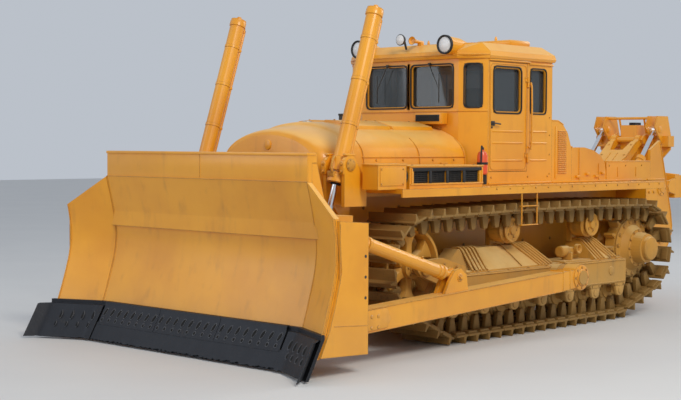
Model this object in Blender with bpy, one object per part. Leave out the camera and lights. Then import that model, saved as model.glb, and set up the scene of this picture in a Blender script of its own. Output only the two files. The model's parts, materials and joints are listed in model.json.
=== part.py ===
# A tracked bulldozer with a half-U blade, two tall lift cylinders and a raised ripper.
# Metres. X points to the machine's left, Y to its rear and Z up; the blade faces -Y.
# Side outlines list (y, z) points, cross sections list (x, z) and plans list (x, y).
# stand_on_origin moves everything at the end, so that the origin is under the middle.
import math

import bmesh
import bpy
from mathutils import Matrix, Vector

# Play between pieces
gap = 0.0003
pin_play = 0.0008
running_gap = 0.005

# Tracks
track_inner = 0.874
shoe_width = 0.69
track_middle = track_inner + shoe_width / 2
shoe_pitch = 0.218
chain_height = 0.105
grouser_height = 0.075
wheel_width = 0.22
idler = {"y": -0.41, "z": 0.874, "radius": 0.46}
sprocket = {"y": 4.04, "z": 0.87, "tip_radius": 0.475}
sprocket_teeth = 15
roller_radius = 0.19
roller_count = 7
first_roller_y = 0.04
roller_pitch = 0.56
carrier_radius = 0.15
carrier_z = 1.215
carrier_ys = (1.32, 2.995)

# Track frames
beam_front = -0.02
beam_rear = 3.52
beam_bottom = 0.467
beam_top = 0.771
rail_width = 0.12
beam_half_width = 0.33
cover_top = 1.02
cover_inner = 1.00
cover_ridge = 1.20
cover_outer = 1.50
trunnion_radius = 0.085
trunnion_y = 1.95
trunnion_z = 0.65

# Hull and decks
hull_half_width = 0.62
hull_front = -0.95
hull_rear = 4.72
hull_bottom = 0.52
deck_top = 1.74
deck_half_width = 0.93
deck_thickness = 0.10
fender_edge = 1.60
fender_front = -0.90
fender_rear = 4.345
fender_thickness = 0.045

# Hood and nose
hood_wall = 0.03
nose_front = -1.33
nose_half_width = 0.85
nose_bottom = 0.80

# Cab
cab_half_width = 1.10
cab_front_half_width = 0.78
cab_front = 1.03
cab_corner = 1.19
cab_rear = 2.49
cab_top = 3.24
cab_wall = 0.045
glass_thickness = 0.008
roof_height = 0.19
lamp_x = 0.70
lamp_y = 0.875
lamp_radius = 0.105
door_front = 1.215
door_rear = 1.966
door_bottom = 1.90
door_top = 3.205
hinge_radius = 0.013
hinge_axis = (cab_half_width + 0.0005 + hinge_radius, door_rear + running_gap / 2)
hinge_heights = (2.06, 2.98)
hinge_length = 0.06
window_bottom = 2.60
window_top = 3.15

# Rear bodywork
housing_rear = 2.93
housing_top = 2.52
tank_rear = 3.73
tank_top = 2.19
rear_box_rear = 4.82
rear_box_top = 2.0

# Blade
blade_half_width = 1.611
wing_half_width = blade_half_width + 0.529
wing_sweep = 0.25
blade_plate = 0.06
blade_back = -1.97
end_plate = 0.035
edge_thickness = 0.045
edge_bottom = 0.02
edge_top = 0.43

# Push arms, braces and lift cylinders
arm_inner = 1.74
arm_outer = 1.92
brace_radius = 0.07
brace_front = (-1.90, 1.28)
brace_rear = (-0.32, 0.80)
lift_x = 1.0945
lift_trunnion = (-1.33, 2.0)
lift_eye = (-1.80, 0.55)
barrel_radius = 0.085
barrel_above = 1.745
barrel_below = 0.17
lift_rod_radius = 0.032
lift_rod_length = 2.2
cheek_thickness = 0.045
lug_thickness = 0.045
rod_eye_half = 0.04
collar_radius = 0.10

# Ripper
mount_half_width = 1.10
mount_plate = 0.04
arm_pivot = (5.12, 0.95)
link_pivot = (5.12, 1.623)
link_length = 1.10
raised_angle = math.radians(38)
arm_x = 0.63
arm_width = 0.14
link_x = 0.20
link_width = 0.08
ripper_cylinder_x = 0.44
cylinder_foot = (4.90, 1.20)
rod_eye_offset = (0.043, 0.823)
ripper_barrel_radius = 0.06
ripper_barrel_length = 1.15
ripper_rod_radius = 0.035
ripper_rod_length = 0.80
shank_half_width = 0.045


def clear_scene():
    for thing in list(bpy.data.objects):
        bpy.data.objects.remove(thing, do_unlink=True)


def finish(name, colour, roughness, metallic=0.0, alpha=1.0):
    material = bpy.data.materials.new(name)
    material.use_nodes = True
    shader = material.node_tree.nodes["Principled BSDF"]
    shader.inputs["Base Color"].default_value = (*colour, 1.0)
    shader.inputs["Roughness"].default_value = roughness
    shader.inputs["Metallic"].default_value = metallic
    shader.inputs["Alpha"].default_value = alpha
    return material


# Solids: each function gives a closed bmesh

def loft(rings):
    solid = bmesh.new()
    rows = [[solid.verts.new(point) for point in ring] for ring in rings]
    count = len(rows[0])
    for before, after in zip(rows, rows[1:]):
        for i in range(count):
            j = (i + 1) % count
            solid.faces.new((before[i], before[j], after[j], after[i]))
    solid.faces.new(rows[0])
    solid.faces.new(list(reversed(rows[-1])))
    bmesh.ops.recalc_face_normals(solid, faces=solid.faces)
    return solid


def prism(outline, axis, start, end):
    order = {"X": lambda a, b, at: (at, a, b),
             "Y": lambda a, b, at: (a, at, b),
             "Z": lambda a, b, at: (a, b, at)}[axis]
    return loft([[order(a, b, at) for a, b in outline] for at in (start, end)])


def block(low, high):
    outline = [(low[1], low[2]), (high[1], low[2]), (high[1], high[2]), (low[1], high[2])]
    return prism(outline, "X", low[0], high[0])


def circle(centre, radius, sides):
    turn = 2 * math.pi / sides
    return [(centre[0] + radius * math.cos(i * turn), centre[1] + radius * math.sin(i * turn))
            for i in range(sides)]


def disc(centre, radius, start, end, sides=20):
    # a cylinder along X; centre is (y, z)
    return prism(circle(centre, radius, sides), "X", start, end)


def turned(centre, steps, sides=32):
    # steps along X: each row is (x, radius)
    return loft([[(x, y, z) for y, z in circle(centre, radius, sides)] for x, radius in steps])


def rod(start, end, steps, sides=24):
    # a round bar from start to end; each step is (share of the length, radius)
    start, end = Vector(start), Vector(end)
    along = end - start
    side = Vector((1, 0, 0)) if abs(along.normalized().x) < 0.9 else Vector((0, 0, 1))
    other = along.cross(side).normalized()
    side = other.cross(along).normalized()
    turn = 2 * math.pi / sides
    rings = []
    for share, radius in steps:
        middle = start + along * share
        rings.append([middle + side * (radius * math.cos(i * turn))
                      + other * (radius * math.sin(i * turn)) for i in range(sides)])
    return loft(rings)


def plain_rod(start, end, radius, sides=24):
    return rod(start, end, ((0, radius), (1, radius)), sides)


def mirrored(solid):
    other = solid.copy()
    bmesh.ops.scale(other, vec=(-1, 1, 1), verts=other.verts)
    bmesh.ops.reverse_faces(other, faces=other.faces)
    return other


def two_sided(solids):
    return list(solids) + [mirrored(solid) for solid in solids]


def helper_object(solid):
    mesh = bpy.data.meshes.new("helper")
    solid.to_mesh(mesh)
    solid.free()
    thing = bpy.data.objects.new("helper", mesh)
    thing.hide_render = True
    thing.display_type = "WIRE"
    bpy.context.collection.objects.link(thing)
    return thing


def combine(base, others, operation):
    target = helper_object(base)
    tools = [helper_object(other) for other in others]
    for tool in tools:
        step = target.modifiers.new(operation, "BOOLEAN")
        step.operation = operation
        step.solver = "EXACT"
        step.object = tool
    result = bmesh.new()
    result.from_object(target, bpy.context.evaluated_depsgraph_get())
    for thing in [target] + tools:
        bpy.data.objects.remove(thing, do_unlink=True)
    return result


def joined(first, *others):
    return combine(first, others, "UNION")


def cut(base, *others):
    return combine(base, others, "DIFFERENCE")


# Objects and joints

def pivot(name, place, parent=None):
    empty = bpy.data.objects.new(name, None)
    empty.empty_display_size = 0.2
    bpy.context.collection.objects.link(empty)
    empty.location = Vector(place)
    if parent:
        empty.parent = parent
        empty.matrix_parent_inverse = Matrix.Translation(-world_place(parent))
    return empty


def world_place(empty):
    # an empty's location is kept in world coordinates by its inverse parent matrix
    return Vector(empty.location)


def piece(name, solid, material, parent=None, smooth=True):
    mesh = bpy.data.meshes.new(name)
    solid.to_mesh(mesh)
    solid.free()
    mesh.materials.clear()
    mesh.materials.append(material)
    for face in mesh.polygons:
        face.material_index = 0
    if smooth:
        mesh.shade_smooth()
        mesh.set_sharp_from_angle(angle=math.radians(32))
    thing = bpy.data.objects.new(name, mesh)
    bpy.context.collection.objects.link(thing)
    if parent:
        thing.parent = parent
        thing.matrix_parent_inverse = Matrix.Translation(-world_place(parent))
    return thing


def pair(name, solid, material, parents=(None, None), smooth=True):
    piece(name + "_right", mirrored(solid), material, parents[1], smooth)
    piece(name + "_left", solid, material, parents[0], smooth)


def pivot_pair(name, place, parents=(None, None)):
    x, y, z = place
    return (pivot(name + "_left", (x, y, z), parents[0]),
            pivot(name + "_right", (-x, y, z), parents[1]))


# Track outline: a belt round the wheels, front roller first, then along the ground

def belt_wheels():
    roller_z = chain_height + grouser_height + roller_radius
    last_roller_y = first_roller_y + (roller_count - 1) * roller_pitch
    return [(first_roller_y, roller_z, roller_radius),
            (last_roller_y, roller_z, roller_radius),
            (sprocket["y"], sprocket["z"], sprocket["tip_radius"]),
            (carrier_ys[1], carrier_z, carrier_radius),
            (carrier_ys[0], carrier_z, carrier_radius),
            (idler["y"], idler["z"], idler["radius"])]


def belt(offset, step=math.radians(10)):
    # corner points of the closed belt, this far outside the wheels; arcs stay clear of them
    wheels = [(Vector((y, z)), radius + offset) for y, z, radius in belt_wheels()]
    normals = []
    for i, (here, radius) in enumerate(wheels):
        there, next_radius = wheels[(i + 1) % len(wheels)]
        along = there - here
        lean = math.asin((radius - next_radius) / along.length)
        heading = math.atan2(along.y, along.x)
        normals.append(heading - math.pi / 2 + lean)
    points = []
    for i, (here, radius) in enumerate(wheels):
        begin = normals[i - 1]
        sweep = (normals[i] - begin) % (2 * math.pi)
        parts = max(1, math.ceil(sweep / step))
        outer = radius / math.cos(sweep / parts / 2)
        points.append(here + radius * Vector((math.cos(begin), math.sin(begin))))
        for k in range(parts):
            angle = begin + sweep * (k + 0.5) / parts
            points.append(here + outer * Vector((math.cos(angle), math.sin(angle))))
        last = begin + sweep
        points.append(here + radius * Vector((math.cos(last), math.sin(last))))
    return points


def along_belt(points):
    # gives place(distance) -> (point, outward normal) and the belt's length
    ends = points[1:] + points[:1]
    lengths = [(end - start).length for start, end in zip(points, ends)]
    total = sum(lengths)

    def place(distance):
        left = distance % total
        for start, end, length in zip(points, ends, lengths):
            if left <= length and length > 0:
                along = (end - start) / length
                return start + along * left, Vector((along.y, -along.x))
            left -= length
        return points[0], Vector((0, -1))

    return place, total


def track_outline():
    # each row: share of the pitch, height above the chain's inner face
    shoe = ((-0.45, chain_height), (0.12, chain_height),
            (0.17, chain_height + grouser_height), (0.26, chain_height + grouser_height),
            (0.33, chain_height))
    place, length = along_belt(belt(0.0))
    count = round(length / shoe_pitch)
    pitch = length / count
    outline = []
    for i in range(count):
        for share, height in shoe:
            point, normal = place((i + share) * pitch)
            outline.append(point + normal * height)
    return [(point.x, point.y) for point in outline]


def build_tracks(metal):
    low = track_middle - shoe_width / 2
    high = track_middle + shoe_width / 2
    loop = prism(track_outline(), "X", low, high)
    hollow = prism([(p.x, p.y) for p in belt(gap)], "X", low - 0.1, high + 0.1)
    pair("track", cut(loop, hollow), metal, smooth=False)


def build_idlers(paint):
    centre = (idler["y"], idler["z"])
    low = track_middle - wheel_width / 2
    high = track_middle + wheel_width / 2
    rim = 0.08
    web = 0.03
    wheel = disc(centre, idler["radius"], low, high, 36)
    cups = [disc(centre, idler["radius"] - rim, low - 0.01, track_middle - web, 24),
            disc(centre, idler["radius"] - rim, track_middle + web, high + 0.01, 24)]
    hub = disc(centre, 0.12, low - 0.01, high + 0.01, 24)
    holes = []
    hole_count = 6
    for i in range(hole_count):
        angle = 2 * math.pi * (i + 0.5) / hole_count
        spot = (centre[0] + 0.25 * math.cos(angle), centre[1] + 0.25 * math.sin(angle))
        holes.append(disc(spot, 0.075, low, high, 10))
    wheel = cut(joined(cut(wheel, *cups), hub), *holes, disc(centre, 0.05 + pin_play, 0.9, 1.6, 24))
    pair("idler", wheel, paint)


def build_sprockets(paint):
    y, z, tip = sprocket["y"], sprocket["z"], sprocket["tip_radius"]
    root = tip - 0.075
    outline = []
    # each row: share of a tooth, radius
    tooth = ((0.0, root), (0.30, root), (0.42, tip), (0.58, tip), (0.70, root))
    for i in range(sprocket_teeth):
        for share, radius in tooth:
            angle = 2 * math.pi * (i + share) / sprocket_teeth
            outline.append((y + radius * math.cos(angle), z + radius * math.sin(angle)))
    wheel = prism(outline, "X", track_middle - 0.07, track_middle + 0.07)
    # hub steps outward: x, radius
    hub = turned((y, z), ((1.0503, 0.24), (1.40, 0.24), (1.42, 0.21), (1.55, 0.19),
                          (1.56, 0.14), (1.61, 0.135), (1.62, 0.12)), 32)
    pair("sprocket", joined(wheel, hub), paint)


def build_track_frames(paint):
    inner = track_middle - beam_half_width
    outer = track_middle + beam_half_width
    roller_z = chain_height + grouser_height + roller_radius
    wheel_low = track_middle - wheel_width / 2
    wheel_high = track_middle + wheel_width / 2
    top_plate = block((inner, beam_front + 0.10, beam_top - 0.14), (outer, beam_rear, beam_top))
    solids = []
    for low in (inner, outer - rail_width):
        solids.append(block((low, beam_front, beam_bottom), (low + rail_width, beam_rear, beam_top)))
    for i in range(roller_count):
        y = first_roller_y + i * roller_pitch
        solids.append(turned((y, roller_z), ((wheel_low, 0.17), (wheel_low + 0.02, roller_radius),
                                             (wheel_high - 0.02, roller_radius),
                                             (wheel_high, 0.17)), 16))
        solids.append(disc((y, roller_z), 0.045, inner + 0.03, outer - 0.03, 8))
        for low in (inner + 0.02, outer - rail_width + 0.02):
            solids.append(block((low, y - 0.07, roller_z - 0.05), (low + 0.08, y + 0.07, beam_top - 0.1)))
    # covers over the beam, sloping outwards: front foot, front top, rear top, rear foot
    for feet in ((0.28, 0.52, 1.86, 2.12), (2.90, 2.98, 3.26, 3.50)):
        rings = []
        for y, top in zip(feet, (beam_top + 0.03, cover_top, cover_top, beam_top + 0.03)):
            section = ((cover_inner, beam_top - 0.05), (cover_outer, beam_top - 0.05),
                       (cover_outer, beam_top + 0.02), (cover_ridge, top), (cover_inner, top))
            rings.append([(x, y, z) for x, z in section])
        solids.append(loft(rings))
    for y in carrier_ys:
        solids.append(turned((y, carrier_z), ((wheel_low, 0.13), (wheel_low + 0.02, carrier_radius),
                                              (wheel_high - 0.02, carrier_radius),
                                              (wheel_high, 0.13), (wheel_high + 0.03, 0.07)), 18))
        solids.append(block((1.02, y - 0.06, cover_top - 0.03), (1.09, y + 0.06, carrier_z + 0.06)))
        solids.append(disc((y, carrier_z), 0.04, 1.03, 1.2, 12))
    yoke = [(0.30, beam_top - 0.1), (0.30, 0.86), (-0.10, 0.97), (-0.47, 0.96), (-0.55, 0.874),
            (-0.47, 0.79), (-0.10, 0.66)]
    for low in (inner + 0.03, outer - rail_width + 0.01):
        solids.append(prism(yoke, "X", low, low + 0.06))
    solids.append(disc((idler["y"], idler["z"]), 0.05, inner + 0.04, outer - 0.04, 24))
    # stub axle of the push arm: x, radius
    solids.append(turned((trunnion_y, trunnion_z),
                         ((outer - 0.05, 0.14), (outer + 0.10, 0.14), (outer + 0.12, trunnion_radius),
                          (arm_outer + 0.04, trunnion_radius)), 32))
    pair("track_frame", joined(top_plate, *solids), paint)


def build_hull(paint):
    outline = [(hull_front, deck_top - 0.05), (hull_front, 1.15), (-0.60, 0.62), (-0.30, hull_bottom),
               (4.35, hull_bottom), (hull_rear, 0.85), (hull_rear, deck_top - 0.05)]
    core = prism(outline, "X", -hull_half_width, hull_half_width)
    deck = block((-deck_half_width, hull_front, deck_top - deck_thickness),
                 (deck_half_width, hull_rear, deck_top))
    carriers = []
    rail = track_middle - beam_half_width - gap
    for front in (0.55, 2.55):
        carriers.append(block((-rail, front, 0.50), (rail, front + 0.34, 0.74)))
    final_drive = turned((sprocket["y"], sprocket["z"]),
                         ((-1.05, 0.26), (-0.98, 0.34), (0.98, 0.34), (1.05, 0.26)), 32)
    piece("hull_frame", joined(core, deck, *carriers, final_drive), paint, smooth=False)
    engine = block((-0.5, -0.6, deck_top + gap), (0.5, 0.75, 2.32))
    piece("engine_block", engine, paint, smooth=False)


def build_fenders(paint):
    low = deck_top - fender_thickness
    start = deck_half_width + gap
    section = [(start, low), (fender_edge - 0.02, low), (fender_edge - 0.02, low - 0.04),
               (fender_edge, low - 0.04), (fender_edge, deck_top), (start, deck_top)]
    pair("fender", prism(section, "Y", fender_front, fender_rear), paint, smooth=False)


def hood_rings(inset, front, rear, base):
    # half section: x, z above the deck
    half = ((0.88, 0.0), (0.905, 0.14), (0.90, 0.32), (0.86, 0.44), (0.74, 0.55), (0.55, 0.64),
            (0.30, 0.705), (0.0, 0.73))
    # along the hood: y, width share, height share
    stations = ((front, 0.80, 0.80), (front + 0.05, 0.88, 0.86), (front + 0.18, 0.95, 0.90),
                (-0.92, 0.985, 0.94), (-0.80, 1.0, 1.0), (rear, 1.0, 1.0))
    shoulder = 0.3
    rings = []
    for y, width, height in stations:
        side = [((x - inset) * width, deck_top + z * height - (inset if z > shoulder else 0))
                for x, z in half[:-1]]
        side[0] = (side[0][0], base)
        crown = (0.0, deck_top + half[-1][1] * height - inset)
        rings.append([(x, y, z) for x, z in side] + [(crown[0], y, crown[1])]
                     + [(-x, y, z) for x, z in reversed(side)])
    return rings


def build_hood(paint):
    shell = loft(hood_rings(0.0, nose_front, cab_front - gap, deck_top + gap))
    hollow = loft(hood_rings(hood_wall, nose_front + hood_wall, cab_front + 0.05, deck_top - 0.05))
    piece("hood", cut(shell, hollow), paint)


def build_nose(paint):
    outline = [(nose_front, deck_top), (nose_front, 1.0), (nose_front + 0.3, nose_bottom),
               (hull_front - gap, 1.0), (hull_front - gap, deck_top)]
    guard = prism(outline, "X", -nose_half_width, nose_half_width)
    recess = block((-0.68, nose_front - 0.1, 1.08), (0.68, nose_front + 0.10, 1.66))
    y, z = lift_trunnion
    cheeks = []
    cheek = [(y - 0.09, 1.56), (y - 0.09, z + 0.05), (y - 0.04, z + 0.10), (y + 0.04, z + 0.10),
             (y + 0.09, z + 0.05), (y + 0.25, 1.80), (y + 0.25, 1.56)]
    for side in (-1, 1):
        middle = lift_x + side * (collar_radius + 0.01 + cheek_thickness / 2)
        cheeks.append(prism(cheek, "X", middle - cheek_thickness / 2, middle + cheek_thickness / 2))
    reach = lift_x + collar_radius + 0.01 + cheek_thickness
    cheeks.append(block((nose_half_width - 0.05, y + 0.16, 1.57), (reach - 0.005, y + 0.24, 1.73)))
    holes = disc(lift_trunnion, 0.035 + pin_play, 0.5, 1.6, 24)
    bracket = cut(joined(*cheeks), holes)
    body = joined(cut(guard, recess), *two_sided([bracket]))
    piece("radiator_guard", body, paint, smooth=False)


def build_side_boxes(paint):
    start = deck_half_width + gap
    base = deck_top + gap
    box = block((start, -0.70, base), (1.52, 0.56, 1.98))
    slots = []
    slot_length = 0.26
    for i in range(4):
        y = -0.63 + i * (slot_length + 0.03)
        slots.append(block((1.48, y, 1.80), (1.6, y + slot_length, 1.94)))
    front = block((1.30, -1.20, base), (1.52, -0.75, 2.0))
    neck = block((1.30, -0.80, base), (1.42, -0.65, 1.80))
    pair("side_box", joined(cut(box, *slots), front, neck), paint, smooth=False)


def cab_plan(inset):
    front = cab_front + inset
    side = cab_half_width - inset
    corner = cab_front_half_width - inset * 0.4
    return [(side, cab_corner + inset * 0.4), (corner, front), (-corner, front),
            (-side, cab_corner + inset * 0.4), (-side, cab_rear - inset), (side, cab_rear - inset)]


def hinge_half(low, high, start, end):
    # a leaf on the outer face and its knuckle on the door's axis
    leaf = block((cab_half_width - 0.004, start, low), (cab_half_width + 0.008, end, high))
    return joined(leaf, prism(circle(hinge_axis, hinge_radius, 12), "Z", low, high))


def build_cab(paint, glass):
    base = deck_top + gap
    shell = prism(cab_plan(0.0), "Z", base, cab_top)
    room = prism(cab_plan(cab_wall), "Z", base + cab_wall, cab_top + 0.1)
    wide = cab_half_width + 0.2
    windows = []
    for side in (-1, 1):
        x0, x1 = sorted((side * 0.035, side * 0.70))
        windows.append(block((x0, cab_front - 0.1, window_bottom + 0.06),
                             (x1, cab_front + 0.1, window_top + 0.03)))
    # corner panes face half forward: cut square to the corner wall
    corner = Vector((cab_front_half_width - cab_half_width, cab_front - cab_corner, 0)).normalized()
    outward = Vector((-corner.y, corner.x, 0))
    if outward.y > 0:
        outward = -outward
    middle = Vector(((cab_front_half_width + cab_half_width) / 2, (cab_front + cab_corner) / 2, 0))
    low, high = window_bottom + 0.06, window_top + 0.03
    ring_points = []
    for reach in (-0.15, 0.15):
        ring = []
        for along, z in ((-0.11, low), (0.11, low), (0.11, high), (-0.11, high)):
            spot = middle + corner * along + outward * reach
            ring.append((spot.x, spot.y, z))
        ring_points.append(ring)
    pane_cut = loft(ring_points)
    windows += two_sided([pane_cut])
    windows.append(block((-wide, 2.03, window_bottom), (wide, 2.36, window_top)))
    windows.append(block((-0.80, cab_rear - 0.1, 2.60), (0.80, cab_rear + 0.1, window_top)))
    clear = running_gap
    windows.append(block((-wide, door_front - clear, door_bottom - clear),
                         (wide, door_rear + clear, door_top + clear)))
    leaves = [hinge_half(z - hinge_length, z, hinge_axis[1], hinge_axis[1] + 0.05) for z in hinge_heights]
    piece("cab_body", joined(cut(shell, room, *windows), *two_sided(leaves)), paint, smooth=False)

    # glass stands just inside the walls
    inner = cab_wall + gap
    outer_plan = cab_plan(inner)
    inner_plan = cab_plan(inner + glass_thickness)
    band = [outer_plan[0], outer_plan[1], outer_plan[2], outer_plan[3],
            inner_plan[3], inner_plan[2], inner_plan[1], inner_plan[0]]
    front_pane = prism(band, "Z", window_bottom + 0.02, window_top + 0.06)
    piece("windshield", front_pane, glass, smooth=False)
    side = cab_half_width - inner
    pane = block((side - glass_thickness, 2.00, window_bottom - 0.03), (side, 2.39, window_top + 0.03))
    pair("side_glass", pane, glass, smooth=False)
    rear_pane = block((-0.83, cab_rear - inner - glass_thickness, 2.57),
                      (0.83, cab_rear - inner, window_top + 0.03))
    piece("rear_glass", rear_pane, glass, smooth=False)


def build_roof(paint):
    base = cab_top + gap

    def ring(spread, z):
        side = cab_half_width + spread
        front = cab_front - spread - 0.02
        corner = cab_front_half_width + spread * 0.5
        rear = cab_rear + spread
        return [(side, cab_corner, z), (corner, front, z), (-corner, front, z), (-side, cab_corner, z),
                (-side, rear, z), (side, rear, z)]

    slab = loft([ring(0.02, base), ring(0.035, base + 0.03), ring(0.02, base + 0.09),
                 ring(-0.10, base + roof_height)])
    # a lamp pod runs back from each lens and sinks into the roof
    lens = Vector((lamp_x, lamp_y, base + 0.16))
    pod = rod(lens, lens + Vector((0, 0.55, -0.04)),
              ((0, lamp_radius), (0.4, lamp_radius), (1, lamp_radius * 0.4)), 20)
    piece("cab_roof", joined(slab, *two_sided([pod])), paint)


def build_doors(paint, glass):
    hinges = pivot_pair("door_hinge", (*hinge_axis, door_bottom))
    inner = cab_half_width - cab_wall
    panel = block((inner, door_front, door_bottom), (cab_half_width, door_rear, door_top))
    window = block((inner - 0.1, door_front + 0.08, window_bottom),
                   (cab_half_width + 0.1, door_rear - 0.12, window_top))
    leaves = [hinge_half(z + gap, z + hinge_length, hinge_axis[1] - 0.05, hinge_axis[1])
              for z in hinge_heights]
    pair("door", joined(cut(panel, window), *leaves), paint, hinges, smooth=False)
    pane = block((inner - gap - glass_thickness, door_front + 0.05, window_bottom - 0.03),
                 (inner - gap, door_rear - 0.09, window_top + 0.025))
    pair("door_glass", pane, glass, hinges, smooth=False)


def build_cab_interior(metal, fabric):
    floor = deck_top + gap + cab_wall + gap
    pedestal = block((-0.2, 1.72, floor), (0.2, 2.10, 2.20))
    tray = block((-0.27, 1.65, 2.17), (0.27, 2.22, 2.23))
    back = block((-0.24, 2.19, 2.18), (0.24, 2.22, 2.75))
    piece("seat_frame", joined(pedestal, tray, back), metal, smooth=False)
    piece("seat_cushion", block((-0.26, 1.63, 2.23 + gap), (0.26, 2.05, 2.35)), fabric, smooth=False)
    piece("seat_back", block((-0.25, 2.07, 2.36), (0.25, 2.19 - gap, 2.95)), fabric, smooth=False)
    front = cab_front + cab_wall + gap
    outline = [(front, floor), (front, 2.58), (front + 0.16, 2.58), (front + 0.26, 2.40),
               (front + 0.22, floor)]
    piece("control_console", prism(outline, "X", -0.62, 0.62), metal, smooth=False)


def build_rear_bodywork(paint):
    base = deck_top + gap
    wide = cab_half_width
    housing = [(cab_rear + gap, base), (cab_rear + gap, housing_top), (2.62, housing_top),
               (2.74, housing_top - 0.05), (2.84, housing_top - 0.15), (housing_rear, housing_top - 0.36),
               (housing_rear, base)]
    piece("louvre_housing", prism(housing, "X", -wide, wide), paint)
    start = housing_rear + gap
    tank = [(start, base), (start, tank_top), (3.22, tank_top), (3.44, tank_top - 0.04),
            (3.60, tank_top - 0.11), (3.69, tank_top - 0.20), (tank_rear, tank_top - 0.32), (tank_rear, base)]
    piece("fuel_tank", prism(tank, "X", -wide, wide), paint)
    box = block((-wide, tank_rear + gap, base), (wide, rear_box_rear, rear_box_top))
    piece("rear_box", box, paint, smooth=False)


# Blade group: one body that swings on the push arms' rear eyes

# front face of the mouldboard from the crease under the visor to the cutting edge: y, z
mouldboard = ((-2.317, 1.846), (-2.245, 1.568), (-2.185, 1.26), (-2.19, 1.05), (-2.24, 0.825),
              (-2.381, 0.392), (-2.49, 0.20))
visor_top = (-2.318, 2.131)
# the wing's outer profile reaches lower: z of each matching point
wing_heights = (1.51, 1.36, 1.15, 0.98, 0.80, 0.392, 0.20)


def mouldboard_y(z):
    for (y0, z0), (y1, z1) in zip(mouldboard, mouldboard[1:]):
        if z1 <= z <= z0:
            return y0 + (y1 - y0) * (z - z0) / (z1 - z0)
    return mouldboard[-1][0]


def thick_profile(points, thickness):
    return list(points) + [(y + thickness, z) for y, z in reversed(points)]


def build_blade(paint, steel, parent):
    front = [visor_top] + list(mouldboard)
    centre = prism(thick_profile(front, blade_plate), "X", -blade_half_width, blade_half_width)
    inner = thick_profile(mouldboard, blade_plate)
    outer = thick_profile([(mouldboard_y(z) - wing_sweep, z) for z in wing_heights], blade_plate)
    near = blade_half_width - 0.012
    wing = loft([[(near, y, z) for y, z in inner], [(wing_half_width, y, z) for y, z in outer]])
    plate_outline = [(mouldboard_y(z) - wing_sweep + 0.03, z) for z in (1.49, 1.0, 0.70, 0.45, 0.215)]
    plate_outline += [(-2.05, 0.19), (-2.05, 1.46)]
    end = prism(plate_outline, "X", wing_half_width - 0.01, wing_half_width + end_plate)
    # box beams and ribs behind the plate: y range is from the plate to the back
    beams = [block((-1.92, -2.23, 1.28), (1.92, blade_back - 0.03, 1.52)),
             block((-1.72, -2.30, 0.32), (1.72, blade_back, 0.62)),
             block((-blade_half_width, -2.28, 2.03), (blade_half_width, -2.19, 2.131))]
    rib_outline = [(-2.29, 2.08), (-2.20, 2.08), (blade_back - 0.03, 1.40), (blade_back - 0.02, 0.45),
                   (-2.40, 0.30), (-2.20, 0.825), (-2.15, 1.05), (-2.15, 1.26), (-2.21, 1.568)]
    ribs = [prism(rib_outline, "X", x - 0.02, x + 0.02) for x in (0.0, 0.55, 1.28, 1.585)]
    # lugs of the lift rods: one each side of the eye
    y, z = lift_eye
    lug = [(-2.25, z - 0.12), (y, z - 0.09), (y + 0.07, z - 0.05), (y + 0.09, z), (y + 0.07, z + 0.06),
           (y, z + 0.09), (-2.1, z + 0.25)]
    lugs = []
    for side in (-1, 1):
        middle = lift_x + side * (rod_eye_half + lug_thickness / 2 + 0.0005)
        lugs.append(prism(lug, "X", middle - lug_thickness / 2, middle + lug_thickness / 2))
    # feet of the push arms and braces
    foot_outline = [(-2.34, 0.60), (-2.46, 0.26), (-1.99 - gap, 0.26), (-1.99 - gap, 0.60)]
    foot = prism(foot_outline, "X", 1.70, 1.96)
    y, z = brace_front
    brace_lug = [(y - 0.25, z - 0.14), (y, z - 0.08), (y + 0.06, z), (y, z + 0.08), (y - 0.25, z + 0.14)]
    brace_lugs = [prism(brace_lug, "X", x, x + 0.04) for x in (1.75, 1.87)]
    sides = [wing, end, foot] + ribs[1:] + lugs + brace_lugs
    body = joined(centre, *beams, ribs[0], *two_sided(sides))
    eyes = disc(lift_eye, 0.035, 0.9, 1.3, 24)
    piece("blade", cut(body, *two_sided([eyes])), paint, parent, smooth=False)

    # cutting edge: plates bolted to the mouldboard's foot, following its slope
    (y0, z0), (y1, z1) = mouldboard[-2:]
    slope = (y0 - y1) / (z0 - z1)

    def edge_ring(x):
        sweep = max(0.0, (x - near) * wing_sweep / (wing_half_width - near))
        back = [(y0 - gap - sweep + slope * (z - z0), z) for z in (edge_bottom, z0, edge_top)]
        back[2] = (back[1][0], edge_top)
        front = [(y - edge_thickness, z) for y, z in reversed(back)]
        return [(x, y, z) for y, z in back + front]

    middle_edge = [edge_ring(near), [(-x, y, z) for x, y, z in edge_ring(near)]]
    side_edge = [edge_ring(near), edge_ring(wing_half_width + end_plate)]
    edge = joined(loft(middle_edge), *two_sided([loft(side_edge)]))
    piece("cutting_edge", edge, steel, parent, smooth=False)


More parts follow.
